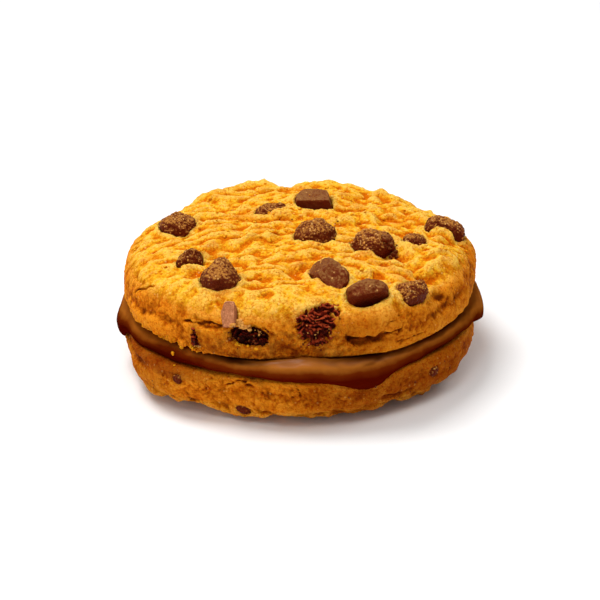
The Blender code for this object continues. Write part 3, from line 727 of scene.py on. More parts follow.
def place_piece(mesh: Mesh, material: Material, nodes: Sequence[str], keep: float = 1.0) -> Piece:
    """Makes a finished piece of the sandwich from a mesh, and reports it.

    Args:
        mesh: the shaped mesh, in the frame of the solids.
        material: what it is dressed in.
        nodes: the nodes that the piece stands for.
        keep: the share of the triangles that stay, most of them where the surface bends.

    Returns:
        The piece, riding on the sandwich.
    """
    mesh.materials.append(material)
    name = mesh.name
    piece = linked(name, mesh)
    if keep < 1.0:
        fewer = piece.modifiers.new("fewer_faces", "DECIMATE")
        fewer.ratio = keep
        graph = bpy.context.evaluated_depsgraph_get()
        piece.data = bpy.data.meshes.new_from_object(piece.evaluated_get(graph))
        piece.modifiers.clear()
        bpy.data.meshes.remove(mesh)
        piece.data.name = name
        piece.data.shade_smooth()
    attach(piece, BODY)
    if nodes:
        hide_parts(*nodes)
    LOG.info("%s: %d faces", name, len(piece.data.polygons))
    return piece


@dataclass
class ChipPiece:
    """One chip of chocolate, set in the dough."""

    chip: Chip
    middle: Vector
    facing: Matrix
    layer: float
    fineness: int = CHIP_FINENESS
    flat: float = 0.75
    flat_edge: float = 0.15
    wave: float = 0.12
    waves: float = 1.9
    break_depth: float = 0.94
    break_edge: float = 0.08
    break_calm: float = 0.6
    strand_size: float = 1.5 * MM
    strand_bend: float = 1.7 * MM
    hollow: float = 0.1 * MM

    def place(self) -> Matrix:
        """Returns the matrix that puts the chip where it sits."""
        x, y, z = (Matrix.Rotation(math.radians(turn), 4, axis) for turn, axis in zip(self.chip.turn, "XYZ"))
        return Matrix.Translation(self.middle) @ self.facing @ (z @ (y @ x))

    def outside(self, points: Array) -> Array:
        """Returns how far points lie outside the chip, or inside it where negative."""
        size = np.array(self.chip.size) * MM
        share = self.chip.form.share(moved(points, self.place().inverted()) / size)
        return (share - 1.0) * float(size.mean())

    def relief(self, places: Array) -> Array:
        """Measures the chip's fine skin.

        Args:
            places: places on the chip, a row each.

        Returns:
            The rise of each.
        """
        size, height, strands = (value * MM for value in self.chip.skin.value)
        relief = height * blobs(places, size, self.layer, 0.5)
        relief += 0.3 * height * cells(places, 0.45 * size, self.layer + 7.0)
        relief += 0.2 * MM * grain(places, 1.9 * MM, self.layer + 1.0)
        if strands > 0.0:
            bent = places + self.strand_bend * grains(places, 2.2 * MM, self.layer, 2)
            first = np.abs(grain(bent * (1.0, 0.7, 0.9), self.strand_size, self.layer + 5.0))
            second = np.abs(grain(bent, 0.6 * self.strand_size, self.layer + 6.0))
            relief += strands * (0.5 - 1.7 * first - 0.9 * second)
        return relief

    def build(self, slot: Slot, material: Material) -> Piece:
        """Builds the chip.

        Args:
            slot: the record's material slot, which is not used.
            material: the chocolate that it is dressed in.

        Returns:
            The piece that stands for the chip's node.
        """
        mesh = round_mesh(self.chip.name.replace("chip_", "chocolate_"), self.fineness)
        unit = read_rows(mesh)
        rough = 1.0 + self.wave * sample(self.waves * unit + (self.layer, 0.0, 0.0))
        formed = self.chip.form.points(unit) * rough[:, None]
        fresh = np.zeros(len(unit))
        for facing, distance in self.chip.breaks:
            direction = np.array(facing) / np.linalg.norm(facing)
            ahead = formed @ direction - distance
            cut = ahead > 0.0
            formed[cut] -= (self.break_depth * ahead[cut])[:, None] * direction
            fresh[cut] = smooth_step(0.0, self.break_edge, ahead[cut])
        formed[:, 2] = np.maximum(formed[:, 2], -self.flat)
        places = formed * (np.array(self.chip.size) * MM)
        write_points(mesh, places)
        above = smooth_step(-self.flat, self.flat_edge - self.flat, formed[:, 2])
        relief = self.relief(places) * above * (1.0 - self.break_calm * fresh)
        write_points(mesh, moved(places + read_rows(mesh, normals=True) * relief[:, None], self.place()))
        # Depth in hollows, for the chocolate's painted shade
        write_values(mesh, "hollow", hollowness(mesh, 8) / self.hollow)
        return place_piece(mesh, material, (self.chip.name,))


def crown_pieces() -> list[ChipPiece]:
    """Puts the chips of the top cookie's crown at their places.

    Returns:
        The chips, ready to build.
    """
    made = []
    for number, chip in enumerate(CROWN_CHIPS):
        x, y, rise = (value * MM for value in chip.place)
        share = np.array([math.hypot(x, y)]) / TOP_PLAN.radius
        height = TOP_BASE + float(SECTION.crown_height(share, TOP_THICKNESS)[0])
        middle = Vector((x, y, height + rise))
        made.append(ChipPiece(chip, middle, Matrix.Identity(4), CROWN_LAYER + CHIP_STEP * number))
    return made


def side_pieces(
    chips: Sequence[Chip], layer: float, plan: Plan, shift: Vector, fineness: int
) -> list[ChipPiece]:
    """Puts the chips of a side at their places.

    Args:
        chips: the chips, placed by azimuth, height and how far they stand out.
        layer: the first one's layer of noise.
        plan: the cookie's outline.
        shift: how far the cookie is out of the middle.
        fineness: the chips' fineness.

    Returns:
        The chips, ready to build.
    """
    made = []
    for number, chip in enumerate(chips):
        azimuth = math.radians(chip.place[0])
        x, y = math.cos(azimuth), math.sin(azimuth)
        drawn = y if plan is TOP_PLAN else -y
        reach = float(plan.reach(np.array([x]), np.array([drawn]))[0]) + chip.place[2] * MM
        middle = Vector((reach * x, reach * y, chip.place[1] * MM)) + shift
        facing = Matrix.Rotation(azimuth, 4, "Z")
        made.append(ChipPiece(chip, middle, facing, layer + CHIP_STEP * number, fineness))
    return made


@dataclass
class UnderChips:
    """The chips of the lower cookie's crown, spread evenly by a turning step."""

    count: int = 7
    spread: float = 29.0
    lift: float = 0.15 * MM
    sizes: tuple[Pair, ...] = ((3.4, 4.3), (3.2, 4.1), (2.5, 3.1))
    golden_turn: float = 137.508
    seed: int = 11

    def pieces(self) -> list[ChipPiece]:
        """Puts the chips at their places.

        Returns:
            The chips, ready to build.
        """
        draws = np.random.default_rng(self.seed)
        made = []
        for number in range(self.count):
            reach = self.spread * math.sqrt((number + 1.0) / self.count)
            azimuth = math.radians(self.golden_turn * number)
            size = tuple(draws.uniform(low, high) for low, high in self.sizes)
            place = (reach * math.cos(azimuth), reach * math.sin(azimuth), size[2])
            turn = (0.0, 0.0, float(draws.uniform(0.0, 360.0)))
            chip = Chip(f"chip_under_{number + 1:02d}", (DOME, CHUNK)[number % 2], place, size, turn)
            layer = UNDER_LAYER + CHIP_STEP * number
            piece = ChipPiece(chip, Vector(), Matrix.Identity(4), layer, CHIP_FINENESS - 1)
            lift = piece.flat * size[2] * MM + self.lift
            piece.middle = Vector((place[0] * MM, place[1] * MM, lift)) + BOTTOM_SHIFT
            made.append(piece)
        return made


@dataclass
class Cookie:
    """One cookie: its outline, thickness, marks and the chips that it holds."""

    name: str
    plan: Plan
    thickness: float
    base_level: float
    turned: bool
    shift: Vector
    dents: tuple[Dent, ...]
    marks: tuple[SideMark, ...]
    cracks: tuple[Crack, ...]
    # Cream smears with painted shadows, tints of painted shade, and the least share of side colour and
    # painted shade
    smears_and_shadows: tuple[Tint, ...]
    shade_tints: tuple[Tint, ...]
    least_side_and_shade: float
    lipped: tuple[Chip, ...]
    chips: list[ChipPiece]
    keep: float

    # Torn ridges that the wire leaves across the crown, their wander and jog by size and reach
    ridge_pitch: float = 4.4 * MM
    ridge_height: float = 1.0 * MM
    ridge_bend: float = 11.0
    ridge_steep_share: float = 0.42
    ridge_floor: float = 0.4
    ridge_wander: Pair = (8.0 * MM, 2.0 * MM)
    ridge_jog: Pair = (3.6 * MM, 1.5 * MM)
    ridge_strength: float = 0.5
    ridge_strength_spread: float = 1.1
    ridge_strength_size: float = 5.5 * MM
    ridge_least: float = 0.05

    # Calm shoulder at the front, where the ridges and clods fade
    calm_reach: Pair = (28.0 * MM, 34.0 * MM)
    calm_front: Pair = (-2.0 * MM, -12.0 * MM)
    calm_share: float = 0.75

    # Lumps of the crown and of the side: size and height
    lump: Pair = (7.5 * MM, 1.0 * MM)
    clod: Pair = (2.8 * MM, 0.75 * MM)
    side_lump: Pair = (6.0 * MM, 0.45 * MM)
    side_grain: Pair = (2.2 * MM, 0.22 * MM)
    crown_level: float = -0.25 * MM

    # Fine relief of the crown: how far it is bent, where the front edge calms it and where it is torn
    # and bold, and from which strength of their noise the hollows and tears show
    crumb_bend: float = 0.7 * MM
    crumb_bend_size: float = 2.2 * MM
    edge_slant: float = 0.12
    edge_range: Pair = (-23.0, -29.0)
    torn_range: Pair = (-0.5, 0.2)
    bold_range: Pair = (6.0, 16.0)
    hollow_range: Pair = (0.08, 0.5)
    tear_range: Pair = (0.1, 0.5)
    tear_width: float = 0.06

    # Fine relief of the side: how far it is bent, and its pits
    sand_bend: float = 0.5 * MM
    sand_bend_size: float = 1.6 * MM
    pit_range: Pair = (0.5, 0.7)
    pit_depth: float = 0.2

    # Rise of the dough round the crown's chips, and its hug of all chips
    lip_width: float = 1.3 * MM
    lip_height: float = 0.45 * MM
    hug: float = 0.3 * MM
    torn_hug: float = 0.6 * MM
    hug_lip: float = 0.34 * MM
    hug_lip_away: float = 0.5 * MM
    hug_lip_width: float = 0.55 * MM
    carve_reach: float = 2.2
    sink_least: float = 0.1 * MM
    sink_most: float = 2.2 * MM
    sink_share: float = 1.15
    # Strength and reach of the chocolate stain and painted contact shade round each chip
    stain_and_shade_share: float = 0.8
    stain_and_shade_width: float = 0.2 * MM

    # Torn lower edge of the top cookie, at the front left
    ragged_azimuth: float = 224.0
    ragged_half_turn: float = 22.0
    ragged_rise: float = 2.6 * MM
    ragged_depth: float = 0.95 * MM

    # Where the relief begins: above the base, with the shares of that height where the bold relief
    # starts and the fine relief is full, and as the surface turns up
    base_calm: float = 1.6 * MM
    base_start: float = 0.35
    fine_calm: float = 0.25
    crown_turn: Pair = (0.25, 0.85)
    fine_turn: Pair = (0.15, 0.7)
    crack_turn: Pair = (0.6, 0.9)
    colour_turn: Pair = (0.25, 0.9)
    section_step: float = 0.0015

    # Depths at which a hollow and a pore are fully dark in the painted shade
    hollow: float = 0.36 * MM
    pore: float = 0.12 * MM

    def noise_of(self, points: Array, look: Pair, layer: int) -> Array:
        """Returns noise of a given size and height, in a layer of the cookie's own."""
        return look[1] * grain(points, look[0], self.plan.layer + layer)

    def ridges(self, points: Array) -> Array:
        """Measures the torn ridges.

        Args:
            points: points of the flat crown, a row each.

        Returns:
            The rise of each.
        """
        wander = self.noise_of(points, self.ridge_wander, 0) + self.noise_of(points, self.ridge_jog, 6)
        phase = (points[:, 1] + self.ridge_bend * points[:, 0] ** 2 + wander) / self.ridge_pitch
        along = phase - np.floor(phase)
        climb = smooth_step(0.0, self.ridge_steep_share, along)
        fall = smooth_step(self.ridge_steep_share, 1.0, along)
        spread = grain(points, self.ridge_strength_size, self.plan.layer + 1)
        strength = np.maximum(self.ridge_strength + self.ridge_strength_spread * spread, self.ridge_least)
        return self.ridge_height * strength * (climb - fall - self.ridge_floor)

    def shoulder_calm(self, points: Array) -> Array:
        """Returns how calm the crown is: 1 on the shoulder at the front, and 0 elsewhere."""
        away = smooth_step(*self.calm_reach, np.hypot(points[:, 0], points[:, 1]))
        return away * smooth_step(*self.calm_front, points[:, 1])

    def lip_relief(self, points: Array) -> Array:
        """Measures the rise of the dough round the chips of the crown.

        Args:
            points: points of the flat crown, a row each.

        Returns:
            The rise of each.
        """
        highest = np.zeros(len(points))
        rough = 0.6 + 0.8 * grain(points, 2.5 * MM, 9)
        for chip in self.lipped:
            x, y = points[:, 0] / MM - chip.place[0], points[:, 1] / MM - chip.place[1]
            outside = (np.hypot(x, y) - 0.5 * (chip.size[0] + chip.size[1])) * MM
            lip = rough * self.lip_height * mound(outside / self.lip_width, 0.0)
            highest = np.maximum(highest, lip)
        return highest

    def crown_relief(self, points: Array) -> Array:
        """Measures the crown's ridges, lumps, clods, dents and lips.

        Args:
            points: points of the flat crown, a row each.

        Returns:
            The rise of each.
        """
        relief = self.crown_level + self.noise_of(points, self.lump, 2)
        torn = self.ridges(points) + self.noise_of(points, self.clod, 3)
        relief += (1.0 - self.calm_share * self.shoulder_calm(points)) * torn
        return relief + sum(dent.rise(points) for dent in self.dents) + self.lip_relief(points)

    def crumb_relief(self, points: Array) -> Array:
        """Measures the fine relief of the torn crown, which the solids leave out.

        It is calm in patches and at the front edge, and bold at the right.

        Args:
            points: points of the flat crown, a row each.

        Returns:
            The rise of each.
        """
        layer = self.plan.layer
        x, y = points[:, 0] / MM, points[:, 1] / MM
        wander = self.crumb_bend * grains(points, self.crumb_bend_size, layer, 31)
        bent = points + wander
        edge = y + self.edge_slant * x + 3.0 * grain(points, 6.0 * MM, layer + 30)
        calm = np.maximum(smooth_step(*self.edge_range, edge), self.shoulder_calm(points))
        torn = (1.0 - 0.8 * calm) * smooth_step(*self.torn_range, grain(points, 6.5 * MM, layer + 34))
        bold = smooth_step(*self.bold_range, x + 5.0 * grain(points, 9.0 * MM, layer + 29))
        bold *= 1.0 - 0.6 * calm
        slant = np.stack([x - 0.25 * y, y + 0.3 * x * bold, 0.0 * x], axis=1) * MM
        big = blobs((slant + wander) * (0.62, 1.0, 1.0), 3.4 * MM, layer + 42, 0.8)
        mid = blobs(bent * (0.72, 1.0, 1.0), 2.0 * MM, layer + 35, 0.95)
        small = blobs(bent, 0.9 * MM, layer + 36, 0.8)
        relief = (0.35 + 1.45 * bold) * torn * big + (0.14 + 0.26 * torn - 0.1 * bold) * mid
        relief += (0.1 + 0.1 * torn) * small
        relief += 0.1 * grain(bent, 1.1 * MM, layer + 37) + 0.09 * grain(points, 0.5 * MM, layer + 38)
        hollows = smooth_step(*self.hollow_range, grain(bent * (0.6, 1.0, 1.0), 2.6 * MM, layer + 39))
        tears = np.abs(grain(bent * (0.42, 1.0, 1.0), 2.6 * MM, layer + 40))
        tears = smooth_step(self.tear_width, 0.0, tears)
        tears *= smooth_step(*self.tear_range, grain(points, 4.5 * MM, layer + 41))
        return (relief - (0.2 + 0.6 * torn) * hollows - 0.2 * torn * tears) * MM

    def fine_side_relief(self, points: Array) -> Array:
        """Measures the fine, sandy relief of the side, which the solids leave out.

        Args:
            points: points of the side, a row each.

        Returns:
            The rise of each.
        """
        layer = self.plan.layer
        bent = points + self.sand_bend * grains(points, self.sand_bend_size, layer, 55)
        relief = 0.16 * blobs(bent, 1.5 * MM, layer + 51) + 0.11 * cells(bent, 0.7 * MM, layer + 52)
        relief += 0.09 * grain(points, 1.2 * MM, layer + 53) + 0.05 * grain(points, 0.5 * MM, layer + 58)
        pits = smooth_step(*self.pit_range, grain(bent, 1.2 * MM, layer + 54))
        return (relief - self.pit_depth * pits) * MM

    def ragged_relief(self, points: Array) -> Array:
        """Measures the torn lower edge.

        Args:
            points: points of the side, a row each.

        Returns:
            The rise of each.
        """
        turn = turn_between(azimuths(points), self.ragged_azimuth) / self.ragged_half_turn
        rise = (points[:, 2] - self.base_level) / self.ragged_rise
        share = mound(turn, 0.0, 4.0) * smooth_step(1.0, 0.35, rise)
        torn = blobs(points, 2.1 * MM, 81) - 0.05 + 0.35 * grain(points, 0.9 * MM, 82)
        return self.ragged_depth * share * torn

    def mark_relief(self, points: Array) -> Array:
        """Returns the rise of the side's named hollows and slabs, with ragged edges."""
        turn, lift = grains(points, 1.7 * MM, 0.0, 84, 2).T
        height = points[:, 2] / MM + 0.7 * lift
        return sum(mark.rise(azimuths(points), height, 1.4 * turn) for mark in self.marks)

    def crack_relief(self, points: Array) -> Array:
        """Measures the side's cracks, narrow and ragged.

        Args:
            points: points of the side, a row each.

        Returns:
            The rise of each.
        """
        scale = math.radians(1.0) * self.plan.radius / MM
        flat = np.stack([azimuths(points) % 360.0 * scale, points[:, 2] / MM], axis=1)
        ragged = flat + 0.95 * grains(points, 1.5 * MM, 0.0, 61, 2)
        ragged += 0.3 * grain(points, 0.55 * MM, 63)[:, None]
        opening = 0.75 + 0.9 * grain(points, 2.2 * MM, 64)
        return sum(crack.rise(ragged, opening, scale) for crack in self.cracks)

    def tint(self, points: Array, tints: Sequence[Tint]) -> Array:
        """Returns the strength of some tints at some points of the side, from 0 to 1."""
        ragged = points[:, 2] / MM + 0.7 * grain(points, 2.4 * MM, 83)
        return np.max([tint.share(azimuths(points), ragged) for tint in tints], axis=0)

    def shape(self, unit: Array) -> tuple[Array, dict[str, Array]]:
        """Shapes the cookie, crown up, its base at height 0 and its axis on Z.

        Args:
            unit: points of the unit sphere.

        Returns:
            The shaped points, and values for the materials by their names.
        """
        radii, heights, distances = SECTION.outline(self.plan.radius, self.thickness)
        swing = np.arccos(np.clip(unit[:, 2], -1.0, 1.0))
        azimuth = np.arctan2(unit[:, 1], unit[:, 0])
        along = distances[-1] * swing / math.pi
        step = self.section_step * distances[-1]
        across = [np.interp(along + move, distances, radii) for move in (-step, 0.0, step)]
        height = [np.interp(along + move, distances, heights) for move in (-step, 0.0, step)]
        tangent = np.stack([across[2] - across[0], height[2] - height[0]], axis=1)
        tangent /= np.linalg.norm(tangent, axis=1)[:, None]
        out, up = -tangent[:, 1], tangent[:, 0]
        x, y = np.cos(azimuth), np.sin(azimuth)
        reach = self.plan.reach(x, y) * across[1] / self.plan.radius
        base = np.stack([reach * x, reach * y, height[1]], axis=1)
        raised = base + (0.0, 0.0, 0.0 if self.turned else self.base_level)
        upper = up > 0.0
        flat = base[upper] * (1.0, 1.0, 0.0)
        crown, fine_crown = np.zeros(len(unit)), np.zeros(len(unit))
        crown[upper] = self.crown_relief(flat)
        fine_crown[upper] = self.crumb_relief(flat)
        side = self.noise_of(base, self.side_lump, 4) + self.noise_of(base, self.side_grain, 5)
        side += self.mark_relief(raised)
        crown_share = smooth_step(*self.crown_turn, up)
        push = crown_share * crown + (1.0 - crown_share) * side
        push *= smooth_step(self.base_start * self.base_calm, self.base_calm, height[1])
        fine_share = smooth_step(*self.fine_turn, up)
        fine = fine_share * fine_crown + (1.0 - fine_share) * self.fine_side_relief(base)
        fine += (1.0 - smooth_step(*self.crack_turn, up)) * self.crack_relief(raised)
        if not self.turned:
            fine += self.ragged_relief(raised)
        push += smooth_step(0.0, self.fine_calm * self.base_calm, height[1]) * fine
        points = base + np.stack([x * out * push, y * out * push, up * push], axis=1)
        side_share = 1.0 - smooth_step(*self.colour_turn, up)
        # Colour values: share of side colour, cream smears with painted shadows, and strength of the painted
        # shade
        values = {
            "side": np.maximum(side_share, self.least_side_and_shade * (height[1] > 0.0)),
            "smear": side_share * self.tint(raised, self.smears_and_shadows),
            "brown": np.maximum(side_share, self.least_side_and_shade) * self.tint(raised, self.shade_tints),
        }
        return points, values

    def carve(self, points: Array, normals: Array) -> tuple[Array, Array]:
        """Sinks the dough where chips sit, and lets it hug and overlap them unevenly.

        Args:
            points: the dough's points in the frame of the solids.
            normals: the dough's normals.

        Returns:
            The points after the chips have made room, and the strength of the chocolate stains and their
            painted contact shade.
        """
        stain = np.zeros(len(points))
        laid = points.copy()
        for piece in self.chips:
            reach = self.carve_reach * max(piece.chip.size) * MM
            near = np.linalg.norm(points - np.array(piece.middle), axis=1) < reach
            if not near.any():
                continue
            spot = points[near]
            away = piece.outside(spot)
            rough = grain(spot, 1.5 * MM, piece.layer + 8.0) + 0.5 * grain(spot, 0.6 * MM, piece.layer + 9.0)
            hug = self.torn_hug if piece.chip.skin in (Skin.ROPEY, Skin.SHADED) else self.hug
            sink = np.clip(hug * rough + self.sink_least - away, 0.0, self.sink_most)
            lip = self.hug_lip * (0.55 + rough) * mound((away - self.hug_lip_away) / self.hug_lip_width, 0.0)
            lift = np.where(sink > 0.0, 0.0, lip)
            laid[near] += normals[near] * (lift - self.sink_share * sink)[:, None]
            # Chocolate stain and painted contact shade, fading away from the chip
            dark = self.stain_and_shade_share * np.exp(-np.maximum(away, 0.0) / self.stain_and_shade_width)
            stain[near] = np.maximum(stain[near], dark)
        return laid, stain

    def build(self, material: Material) -> Piece:
        """Builds the cookie and lays it in its place.

        Args:
            material: the baked dough that it is dressed in.

        Returns:
            The piece that stands for the cookie's node.
        """
        mesh = round_mesh(self.name.replace("_cookie", "_dough"), COOKIE_FINENESS)
        points, values = self.shape(read_rows(mesh))
        place = Matrix.Translation(self.shift + Vector((0.0, 0.0, self.base_level)))
        if self.turned:
            place = place @ Matrix.Rotation(math.pi, 4, "X")
        write_points(mesh, moved(points, place))
        laid, values["stain"] = self.carve(read_rows(mesh), read_rows(mesh, normals=True))
        if self.turned:
            laid[:, 2] = np.maximum(laid[:, 2], 0.0)
        write_points(mesh, laid)
        # Depths in hollows and pores, for the dough's painted shade
        rounds = 4 ** (COOKIE_FINENESS - 6)
        values["hollow"] = hollowness(mesh, 5 * rounds) / self.hollow
        values["pore"] = hollowness(mesh, rounds // 2) / self.pore
        for name, numbers in values.items():
            write_values(mesh, name, numbers)
        return place_piece(mesh, material, (self.name,), self.keep)


@dataclass
class Cream:
    """The layer of chocolate cream, held between the cookies and bulging out of them."""

    reach: float = 36.9 * MM
    rise: float = 2.1 * MM
    sag: float = 2.6 * MM
    squareness: float = 26.0
    roundness: float = 2.0
    wave: float = 0.25 * MM
    waves: float = 4.0
    layer: float = 3.1
    rim_focus: float = 1.35
    rim_part: float = 0.16
    rim_depth: float = 0.06
    gap: float = 1.15 * GAP
    fold: float = 0.32 * MM
    fold_size: float = 4.5 * MM
    fold_reach: Pair = (0.9, 0.97)
    wrinkle: float = 0.08 * MM
    wrinkle_size: float = 1.6 * MM
    keep: float = 0.8

    # Painted light and shade: the rise from its middle to full light, the lit stretches at the front and the
    # back, the part of the painted shadow under the top cookie that is everywhere, and where it faces up and
    # lies high
    shade_rise: float = 1.8 * MM
    lit_front: Pair = (270.0, 42.0)
    lit_back: Pair = (90.0, 75.0)
    back_light: float = 0.7
    roof_shadow_least: float = 0.35
    roof_shadow_turn: Pair = (0.6, 0.92)
    roof_shadow_level: Pair = (0.55, 0.8)

    def rim_share(self, from_rim: Array) -> Array:
        """Shares out the mesh between the rim and the faces.

        Args:
            from_rim: shares of the way from the rim to the middle, on the mesh.

        Returns:
            The shares of the reach.
        """
        inner = (1.0 - self.rim_depth) * (1.0 - from_rim) / (1.0 - self.rim_part)
        turn = 0.5 * math.pi * np.minimum(from_rim, self.rim_part) / self.rim_part
        return np.where(from_rim > self.rim_part, inner, 1.0 - self.rim_depth * (1.0 - np.cos(turn)))

    def faces(self, x: Array, y: Array, middle: Array, half: Array) -> tuple[Array, Array]:
        """Draws the cream's two faces, kept clear of the cookies that they meet.

        Args:
            x: where the points lie.
            y: where the points lie.
            middle: the height midway between the faces.
            half: how far the faces are from it.

        Returns:
            The heights of the upper and the lower face.
        """
        edge, across = TOP_PLAN.reach(x, y) + GAP, np.hypot(x, y)
        roof = TOP_BASE + SECTION.base_height(across / edge, TOP_THICKNESS) - self.gap
        upper = np.where(across < edge, np.minimum(middle + half, roof), middle + half)
        x, y = x - BOTTOM_SHIFT.x, y - BOTTOM_SHIFT.y
        edge, across = BOTTOM_PLAN.reach(x, -y) + GAP, np.hypot(x, y)
        floor = BOTTOM_THICKNESS - SECTION.base_height(across / edge, BOTTOM_THICKNESS) + self.gap
        return upper, np.where(across < edge, np.maximum(middle - half, floor), middle - half)

    def build(self, material: Material) -> Piece:
        """Builds the cream.

        Args:
            material: the chocolate cream that it is dressed in.

        Returns:
            The piece that stands for the filling.
        """
        mesh = round_mesh("cream_layer", CREAM_FINENESS)
        unit = read_rows(mesh)
        azimuth = np.arctan2(unit[:, 1], unit[:, 0])
        degrees = np.degrees(azimuth)
        wider, higher, lower, drop = (lobe_sum(degrees, CREAM_LOBES, column) for column in (2, 3, 4, 5))
        reach = self.reach + self.wave * ring_noise(azimuth, self.waves, self.layer) + wider
        above = unit[:, 2] > 0.0
        from_rim = 1.0 - 2.0 * np.arccos(np.minimum(1.0, np.abs(unit[:, 2]))) / math.pi
        share = self.rim_share(from_rim ** self.rim_focus)
        x, y = reach * share * np.cos(azimuth), reach * share * np.sin(azimuth)
        middle = CREAM_MIDDLE - drop * share ** self.squareness
        half = np.where(above, self.rise + higher, self.sag + lower)
        half *= rounded(share, self.squareness, self.roundness)
        points = np.stack([x, y, np.where(above, *self.faces(x, y, middle, half))], axis=1)
        write_points(mesh, points)
        folds = self.fold * grain(points * (1.0, 1.0, 1.5), self.fold_size, 70)
        folds += self.wrinkle * grain(points * (1.0, 1.0, 2.2), self.wrinkle_size, 71)
        rim = smooth_step(*self.fold_reach, share)
        write_points(mesh, points + read_rows(mesh, normals=True) * (rim * folds)[:, None])
        # Painted light and shade: lighter high on the band and at the lit front and back, with a painted
        # shadow under the top cookie's edge
        front, back = (mound(turn_between(degrees, at) / half_turn, 0.0, 4.0)
                       for at, half_turn in (self.lit_front, self.lit_back))
        lift = points[:, 2] - CREAM_MIDDLE + (1.0 - front) * drop + 0.5 * folds
        level = 0.5 + 0.5 * lift / self.shade_rise - lobe_sum(degrees, CREAM_SHADES, 2) / MM
        crease = np.minimum(1.0, self.roof_shadow_least + lobe_sum(degrees, CREAM_ROOF_SHADOWS, 2) / MM)
        crease *= smooth_step(*self.roof_shadow_turn, read_rows(mesh, normals=True)[:, 2])
        write_values(mesh, "level", level)
        write_values(mesh, "crease", crease * smooth_step(*self.roof_shadow_level, level))
        write_values(mesh, "lit", np.maximum(front, self.back_light * back))
        return place_piece(mesh, material, ("filling",), self.keep)


@dataclass
class Crumbs:
    """Loose crumbs that lie on the sandwich, joined in one piece, but not on what they avoid."""

    name: str
    scatters: tuple[Scatter, ...]
    seed: int
    avoid: str = "floor"
    fineness: int = 2
    roughness: float = 0.45
    stretch: tuple[Pair, ...] = ((0.6, 1.0), (0.5, 0.85))
    sunk: float = 0.25
    gather: float = 0.5
    start: float = 0.06

    def seats(self, draws: np.random.Generator) -> list[tuple[Vector, Vector, float]]:
        """Finds where the crumbs lie on what has been built.

        Args:
            draws: the source of chance.

        Returns:
            The place, the outward direction and the size of each crumb.
        """
        scene = bpy.context.scene
        graph = bpy.context.evaluated_depsgraph_get()
        found = []
        for scatter in (scatter for scatter in self.scatters for _ in range(scatter.count)):
            away = np.clip(draws.normal(0.0, self.gather, 2), -1.0, 1.0) * scatter.spread
            first, second = scatter.middle + away
            azimuth = math.radians(first)
            outward = Vector((math.cos(azimuth), math.sin(azimuth), 0.0))
            start = self.start * outward + Vector((0.0, 0.0, second * MM))
            if scatter.crown:
                outward = Vector((0.0, 0.0, 1.0))
                start = Vector((first * MM, second * MM, self.start))
            hit, place, normal, _, below, _ = scene.ray_cast(graph, start, -outward)
            if hit and place.z > MM and not below.name.startswith(self.avoid):
                found.append((place, normal, draws.uniform(*scatter.sizes) * MM))
        return found

    def build(self, slot: Slot, material: Material) -> Piece:
        """Builds the crumbs.

        Args:
            slot: the record's material slot, which is not used.
            material: what they are dressed in.

        Returns:
            The joined piece.
        """
        draws = np.random.default_rng(self.seed)
        shape = bmesh.new()
        for number, (place, normal, size) in enumerate(self.seats(draws)):
            made = bmesh.ops.create_icosphere(shape, subdivisions=self.fineness, radius=size)["verts"]
            shift = Vector((3.1 * number, 0.0, 0.0))
            for vertex in made:
                unit = vertex.co / size
                rough = noise.noise(unit * 1.3 + shift) + 0.5 * noise.noise(unit * 3.0 + shift)
                vertex.co *= 1.0 + self.roughness * rough
            stretch = Vector((1.0, *(float(draws.uniform(*ends)) for ends in self.stretch)))
            turn = normal.to_track_quat("Z", "Y").to_matrix().to_4x4()
            turn = turn @ Matrix.Rotation(float(draws.uniform(0.0, math.tau)), 4, "Z")
            seat = Matrix.Translation(place + (0.5 - self.sunk) * size * normal)
            bmesh.ops.transform(shape, matrix=seat @ turn @ Matrix.Diagonal(stretch).to_4x4(), verts=made)
        return place_piece(finished(shape, self.name), material, ())


def turned_over(marks: Sequence[SideMark | Tint]) -> tuple:
    """Returns marks or tints of the lower cookie as they lie before it is turned over."""
    level = BOTTOM_THICKNESS / MM
    return tuple(replace(mark, azimuth=-mark.azimuth, height=level - mark.height) for mark in marks)


def turned_cracks(cracks: Sequence[Crack]) -> tuple[Crack, ...]:
    """Returns cracks of the lower cookie as they lie before it is turned over."""
    level = BOTTOM_THICKNESS / MM
    lines = [tuple((360.0 - a, level - z) for a, z in crack.line) for crack in cracks]
    return tuple(replace(crack, line=line) for crack, line in zip(cracks, lines))


